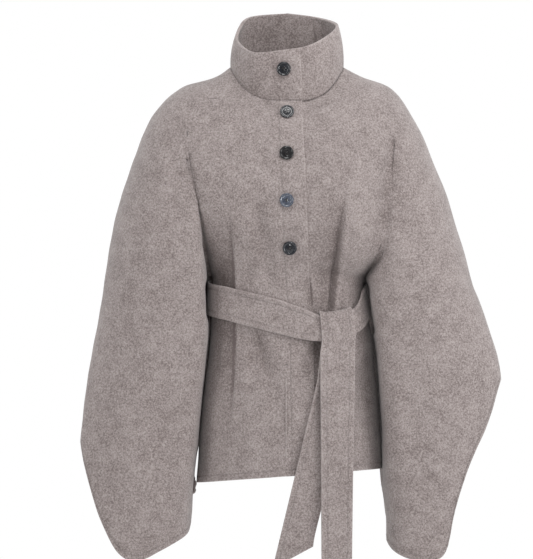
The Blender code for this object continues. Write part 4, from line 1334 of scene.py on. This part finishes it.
def build_buttons(collar, front, finishes, thread):
    """Buttons laid square on the cloth behind them, each with its own turn and its sewing thread."""
    shape = button_mesh()
    cross, cross_faces = thread_cross()
    before = Vector((0, -SEARCH_FROM * MM, 0))
    for i, button in enumerate(each_row(BUTTONS)):
        carrier = surface_of(collar if i == 0 else front)
        start = before + Vector((button["x"] * MM, 0, button["z"] * MM))
        place, normal, _, _ = carrier.ray_cast(start, Vector((0, 1, 0)))
        facing = (normal * (1 - BUTTON_UPRIGHT) + Vector((0, -BUTTON_UPRIGHT, 0))).normalized()
        turn = facing.to_track_quat("Z", "Y").to_matrix().to_4x4()
        spin = Matrix.Rotation(math.radians(button["spin"]), 4, "Z")
        turn.translation = place + normal * BUTTON_SEAT * MM
        mesh = shape.copy()
        mesh.transform(turn @ spin)
        mesh.materials.clear()
        mesh.materials.append(finishes[i])
        placed = linked(f"button_{i + 1}_horn", mesh)
        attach(placed, "root")
        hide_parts(f"button_{i + 1}")
        sewn = mesh_object(f"button_{i + 1}_thread", cross, cross_faces, thread)
        sewn.data.transform(turn @ spin)


class Value:
    """A number that changes over a surface, written with the usual signs."""

    def __init__(self, nodes, socket):
        self.nodes = nodes
        self.socket = socket

    def _math(self, operation, *others):
        """A Math node on this value and others."""
        return self.nodes.number("ShaderNodeMath", {"operation": operation}, self, *others)

    def __add__(self, other):
        return self._math("ADD", other)

    __radd__ = __add__

    def __mul__(self, other):
        return self._math("MULTIPLY", other)

    __rmul__ = __mul__

    def __sub__(self, other):
        return self._math("SUBTRACT", other)

    def __rsub__(self, other):
        return self * -1 + other

    def __truediv__(self, other):
        return self._math("DIVIDE", other)

    def __rpow__(self, base):
        return self.nodes.number("ShaderNodeMath", {"operation": "POWER"}, base, self)

    def clamped(self):
        """The value kept from 0 to 1."""
        return self.nodes.number("ShaderNodeClamp", {}, self)

    def bell(self, centre, width):
        """e to the minus square of how far the value is from a centre, in widths."""
        off = (self - centre) / width
        return math.e ** (off * off * -1)


class Nodes:
    """The nodes of their owner, which is one material or the surroundings."""

    # Sockets of a Mix node that mixes colours.
    MIX_FIRST, MIX_SECOND, MIX_RESULT = 6, 7, 2

    def __init__(self, name, room=False):
        kept = bpy.data.worlds if room else bpy.data.materials
        self.owner = kept.new(name)
        self.owner.use_nodes = True
        self.tree = self.owner.node_tree
        self.shader = self.tree.nodes["Background" if room else "Principled BSDF"]
        way = "Generated" if room else "Object"
        self.place = self.make("ShaderNodeTexCoord", {}).outputs[way]

    def parts(self):
        """The three parts of the place, or of the direction of the surroundings."""
        node = self.make("ShaderNodeSeparateXYZ", {}, Vector=self.place)
        return [Value(self, socket) for socket in node.outputs]

    def make(self, kind, settings, **sockets):
        """A node of a kind, with its settings first and then values or links of its sockets."""
        node = self.tree.nodes.new(kind)
        for key, value in settings.items():
            setattr(node, key, value)
        for key, value in sockets.items():
            self.put(node.inputs[key.replace("_", " ")], value)
        return node

    def put(self, socket, value):
        """Links a value to a socket, or sets a plain number or colour there."""
        if isinstance(value, Value):
            value = value.socket
        if isinstance(value, bpy.types.NodeSocket):
            self.tree.links.new(value, socket)
        else:
            socket.default_value = value

    def number(self, kind, settings, *values):
        """A node that works out one number from others, in the order of its sockets."""
        node = self.make(kind, settings)
        for socket, value in zip(node.inputs, values):
            self.put(socket, value)
        return Value(self, node.outputs[0])

    def noise(self, scale, detail=2.0, rough=0.5, stretch=(1, 1, 1), turn=(0, 0, 0)):
        """Noise on the piece's own coordinates, scale in features a metre."""
        mapping = self.make(
            "ShaderNodeMapping", {}, Vector=self.place, Scale=stretch, Rotation=turn
        )
        node = self.make(
            "ShaderNodeTexNoise",
            {},
            Vector=mapping.outputs[0],
            Scale=scale,
            Detail=detail,
            Roughness=rough,
        )
        return Value(self, node.outputs[0])

    def mark(self, name):
        """A named number of the piece's points."""
        node = self.make("ShaderNodeAttribute", {"attribute_name": name})
        return Value(self, node.outputs["Fac"])

    def blend(self, share, first, second):
        """Mix of two colours by a share."""
        node = self.make("ShaderNodeMix", {"data_type": "RGBA"})
        self.put(node.inputs["Factor"], share)
        self.put(node.inputs[self.MIX_FIRST], first)
        self.put(node.inputs[self.MIX_SECOND], second)
        return node.outputs[self.MIX_RESULT]

    def finish(self, colour, roughness, height=None, strength=1.0, **constants):
        """Sets the shader. Height is in metres, and the constants go on the shader's own sockets."""
        self.put(self.shader.inputs["Base Color"], colour)
        self.put(self.shader.inputs["Roughness"], roughness)
        if height is not None:
            bump = self.make("ShaderNodeBump", {}, Height=height, Distance=1.0, Strength=strength)
            self.put(self.shader.inputs["Normal"], bump.outputs[0])
        for key, value in constants.items():
            self.put(self.shader.inputs[key.replace("_", " ")], value)
        return self.owner


# Colours of the wool from its dark fibres to its pale ones, and of a button's horn, near-black and
# blue-grey, each from its darkest to its palest streaks. The blue-grey is a painted reflection.
WOOL_DARK = (0.185, 0.150, 0.143, 1)
WOOL_PALE = (0.455, 0.397, 0.385, 1)
DARKEST_HORN_AND_REFLECTION = ((0.004, 0.004, 0.005), (0.050, 0.060, 0.085))
PALEST_HORN_AND_REFLECTION = ((0.014, 0.013, 0.015), (0.135, 0.155, 0.205))


def wool_finish():
    """Brushed melange wool: pale and dark fibres in small flecks, a felted nap, and a dip along
    stitch lines and seams. Its colour also holds painted light: painted shade in folds and along
    seams, and a painted highlight along free edges."""
    nodes = Nodes("brushed_wool")
    fleck = nodes.noise(360, 3.0, 0.62)
    fibre = nodes.noise(950, 2.0, 0.6, stretch=(1.0, 1.0, 0.6))
    cloud = nodes.noise(45, 3.0, 0.55)
    tone = ((fleck - 0.5) * 2.3 + (fibre - 0.5) * 1.7 + (cloud - 0.5) * 0.8 + 0.5).clamped()
    hem = nodes.mark("hem")
    edge = nodes.mark("edge")
    seam = nodes.mark("seam")
    # Painted highlight: the cloth is paler along every free edge, as where a raised edge catches the
    # light.
    edge_highlight = nodes.mark("free").bell(0.4, 1.5)
    # Painted shade: the cloth is darker in its folds, by their depth.
    shaded = nodes.mark("crease")
    # Painted shade: the cloth is also darker along the seams, where it turns in between panels.
    tone = (tone + edge_highlight * 0.22 - shaded * 0.7 - seam.bell(0, 1.3) * 0.2).clamped()
    colour = nodes.blend(tone, WOOL_DARK, WOOL_PALE)
    sewn = hem.bell(HEM_STITCH, 1.5) + edge.bell(PLACKET_STITCH, 1.5)
    padded = hem.bell(HEM_STITCH / 2, 2.6)
    turned_in = seam.bell(0, 1.6)
    relief = padded * 0.00035 - sewn * 0.0007 - turned_in * 0.0009
    nap = fleck * 0.00042 + fibre * 0.00016 + cloud * 0.0006
    return nodes.finish(
        colour,
        0.92,
        relief + nap,
        0.9,
        Sheen_Weight=0.28,
        Sheen_Roughness=0.55,
        Specular_IOR_Level=0.18,
    )


def thread_finish(name, colour):
    """Sewing thread: a twist that crosses it in fine bands."""
    nodes = Nodes(name)
    twist = nodes.noise(2600, 1.0, 0.5, stretch=(1, 1, 0.3), turn=(0.6, 0.4, 0))
    dark = tuple(0.72 * c for c in colour)
    shade = nodes.blend(twist, (*dark, 1), (*colour, 1))
    return nodes.finish(shade, 0.6, twist * 0.0001, 0.6, Sheen_Weight=0.1)


def horn_with_painted_reflection(name, tone):
    """Polished dark horn with faint streaks. Tone mixes in a paler blue-grey, a painted reflection.
    """
    nodes = Nodes(name)
    streak = nodes.noise(170, 4.0, 0.65, stretch=(1.0, 1.0, 2.6), turn=(0.3, 0.2, 0.5))
    # Painted reflection: tone mixes the paler blue-grey into the horn's own colours.
    low = tuple(a + (b - a) * tone for a, b in zip(*DARKEST_HORN_AND_REFLECTION))
    high = tuple(a + (b - a) * tone for a, b in zip(*PALEST_HORN_AND_REFLECTION))
    colour = nodes.blend((streak - 0.35) * 2.0, (*low, 1), (*high, 1))
    wear = nodes.noise(900, 2.0, 0.5)
    return nodes.finish(
        colour,
        wear * 0.10 + 0.14,
        wear * 0.00002,
        0.5,
        Coat_Weight=0.4,
        Coat_Roughness=0.12,
        Specular_IOR_Level=0.55,
    )


def floor_finish():
    """Plain pale floor."""
    nodes = Nodes("pale_floor")
    grain = nodes.noise(3, 2.0)
    return nodes.finish(nodes.blend(grain, (0.80, 0.80, 0.80, 1), (0.84, 0.84, 0.84, 1)), 0.8)


# Camera: the picture's middle, its scale and how far off the camera stands.
PICTURE_WIDE = 533
PICTURE_TALL = 559
MM_A_PIXEL = 1.62
NECK_PIXEL = (287, 75)
CAMERA_AWAY = 25.0
FLOOR_Z = -1.42
FLOOR_HALF = 3.0
SENSOR = 36

# Soft lamps: where they stand, where they aim, how wide they are and how bright.
LAMPS = table(
    "x y z aim_x aim_y aim_z wide power",
    (1.8, -1.2, -0.3, 0.1, 0, -0.35, 1.2, 16),
    (0.8, -1.1, 0.9, 0.05, 0, -0.10, 0.7, 4),
    (-1.9, -1.1, -0.2, -0.1, 0, -0.35, 1.2, 11.5),
    (0.0, -0.8, 0.9, 0, 0, -0.05, 0.5, 5),
    (0.2, -3.6, -0.1, 0, 0, -0.20, 0.16, 10),
)

# How bright the surroundings are in front of the garment, and what is added above and at the sides.
# Behind it they are white.
ROOM = {"front": 0.14, "above": 0.40, "right": 0.28, "left": 0.06}


def build_room():
    """Pale surroundings: white behind, and in front dimmer, brighter upwards and sideways."""
    room = Nodes("pale_room", room=True)
    across, deep, tall = room.parts()
    front = tall.clamped() * ROOM["above"] + ROOM["front"]
    front = front + across.clamped() * ROOM["right"] + (across * -1).clamped() * ROOM["left"]
    behind = (deep * 3).clamped()
    room.put(room.shader.inputs["Color"], (1, 1, 1, 1))
    room.put(room.shader.inputs["Strength"], front * (1 - behind) + behind)
    bpy.context.scene.world = room.owner


def build_stage():
    """Floor, soft lamps, pale surroundings and the camera, level and square to the front."""
    round_it = ((-1, -1), (1, -1), (1, 1), (-1, 1))
    corners = [(x * FLOOR_HALF, y * FLOOR_HALF, FLOOR_Z) for x, y in round_it]
    mesh = bpy.data.meshes.new("floor")
    mesh.from_pydata(corners, [], [(0, 1, 2, 3)])
    mesh.materials.append(floor_finish())
    floor = linked("floor", mesh)

    build_room()
    for i, lamp in enumerate(each_row(LAMPS)):
        light = bpy.data.lights.new(f"soft_lamp_{i + 1}", "AREA")
        light.shape = "DISK"
        light.size = lamp["wide"]
        light.energy = lamp["power"]
        placed = linked(light.name, light)
        placed.location = (lamp["x"], lamp["y"], lamp["z"])
        aim = Vector((lamp["aim_x"], lamp["aim_y"], lamp["aim_z"])) - placed.location
        placed.rotation_euler = aim.to_track_quat("-Z", "Y").to_euler()

    camera = bpy.data.cameras.new("camera")
    camera.sensor_width = SENSOR
    camera.lens = SENSOR * CAMERA_AWAY / (PICTURE_TALL * MM_A_PIXEL * MM)
    camera.clip_end = 4 * CAMERA_AWAY
    placed = linked("camera", camera)
    middle_x = (PICTURE_WIDE / 2 - NECK_PIXEL[0]) * MM_A_PIXEL * MM
    middle_z = (NECK_PIXEL[1] - PICTURE_TALL / 2) * MM_A_PIXEL * MM
    placed.location = (middle_x, -CAMERA_AWAY, middle_z)
    placed.rotation_euler = (math.radians(90), 0, 0)
    bpy.context.scene.camera = placed
    bpy.context.scene.view_settings.view_transform = "Standard"


def main():
    for existing in list(bpy.data.objects):
        bpy.data.objects.remove(existing)
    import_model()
    build_stage()
    wool = wool_finish()
    thread = thread_finish("wool_thread", (0.30, 0.26, 0.25))
    dark_thread = thread_finish("button_thread", (0.035, 0.033, 0.034))
    horns = [horn_with_painted_reflection(f"horn_{i + 1}", tone) for i, tone in enumerate(BUTTONS["tone"])]
    front_right = build_front(-1, wool, thread)
    front_left = build_front(1, wool, thread)
    back = build_back(wool, thread)
    collar = build_collar(wool)
    wrap = build_waist_belt(wool, thread)
    tie_over = build_tie_over(wool, thread)
    tie_under = build_tie_under(wool, thread)
    build_buttons(collar, front_right, horns, dark_thread)


main()
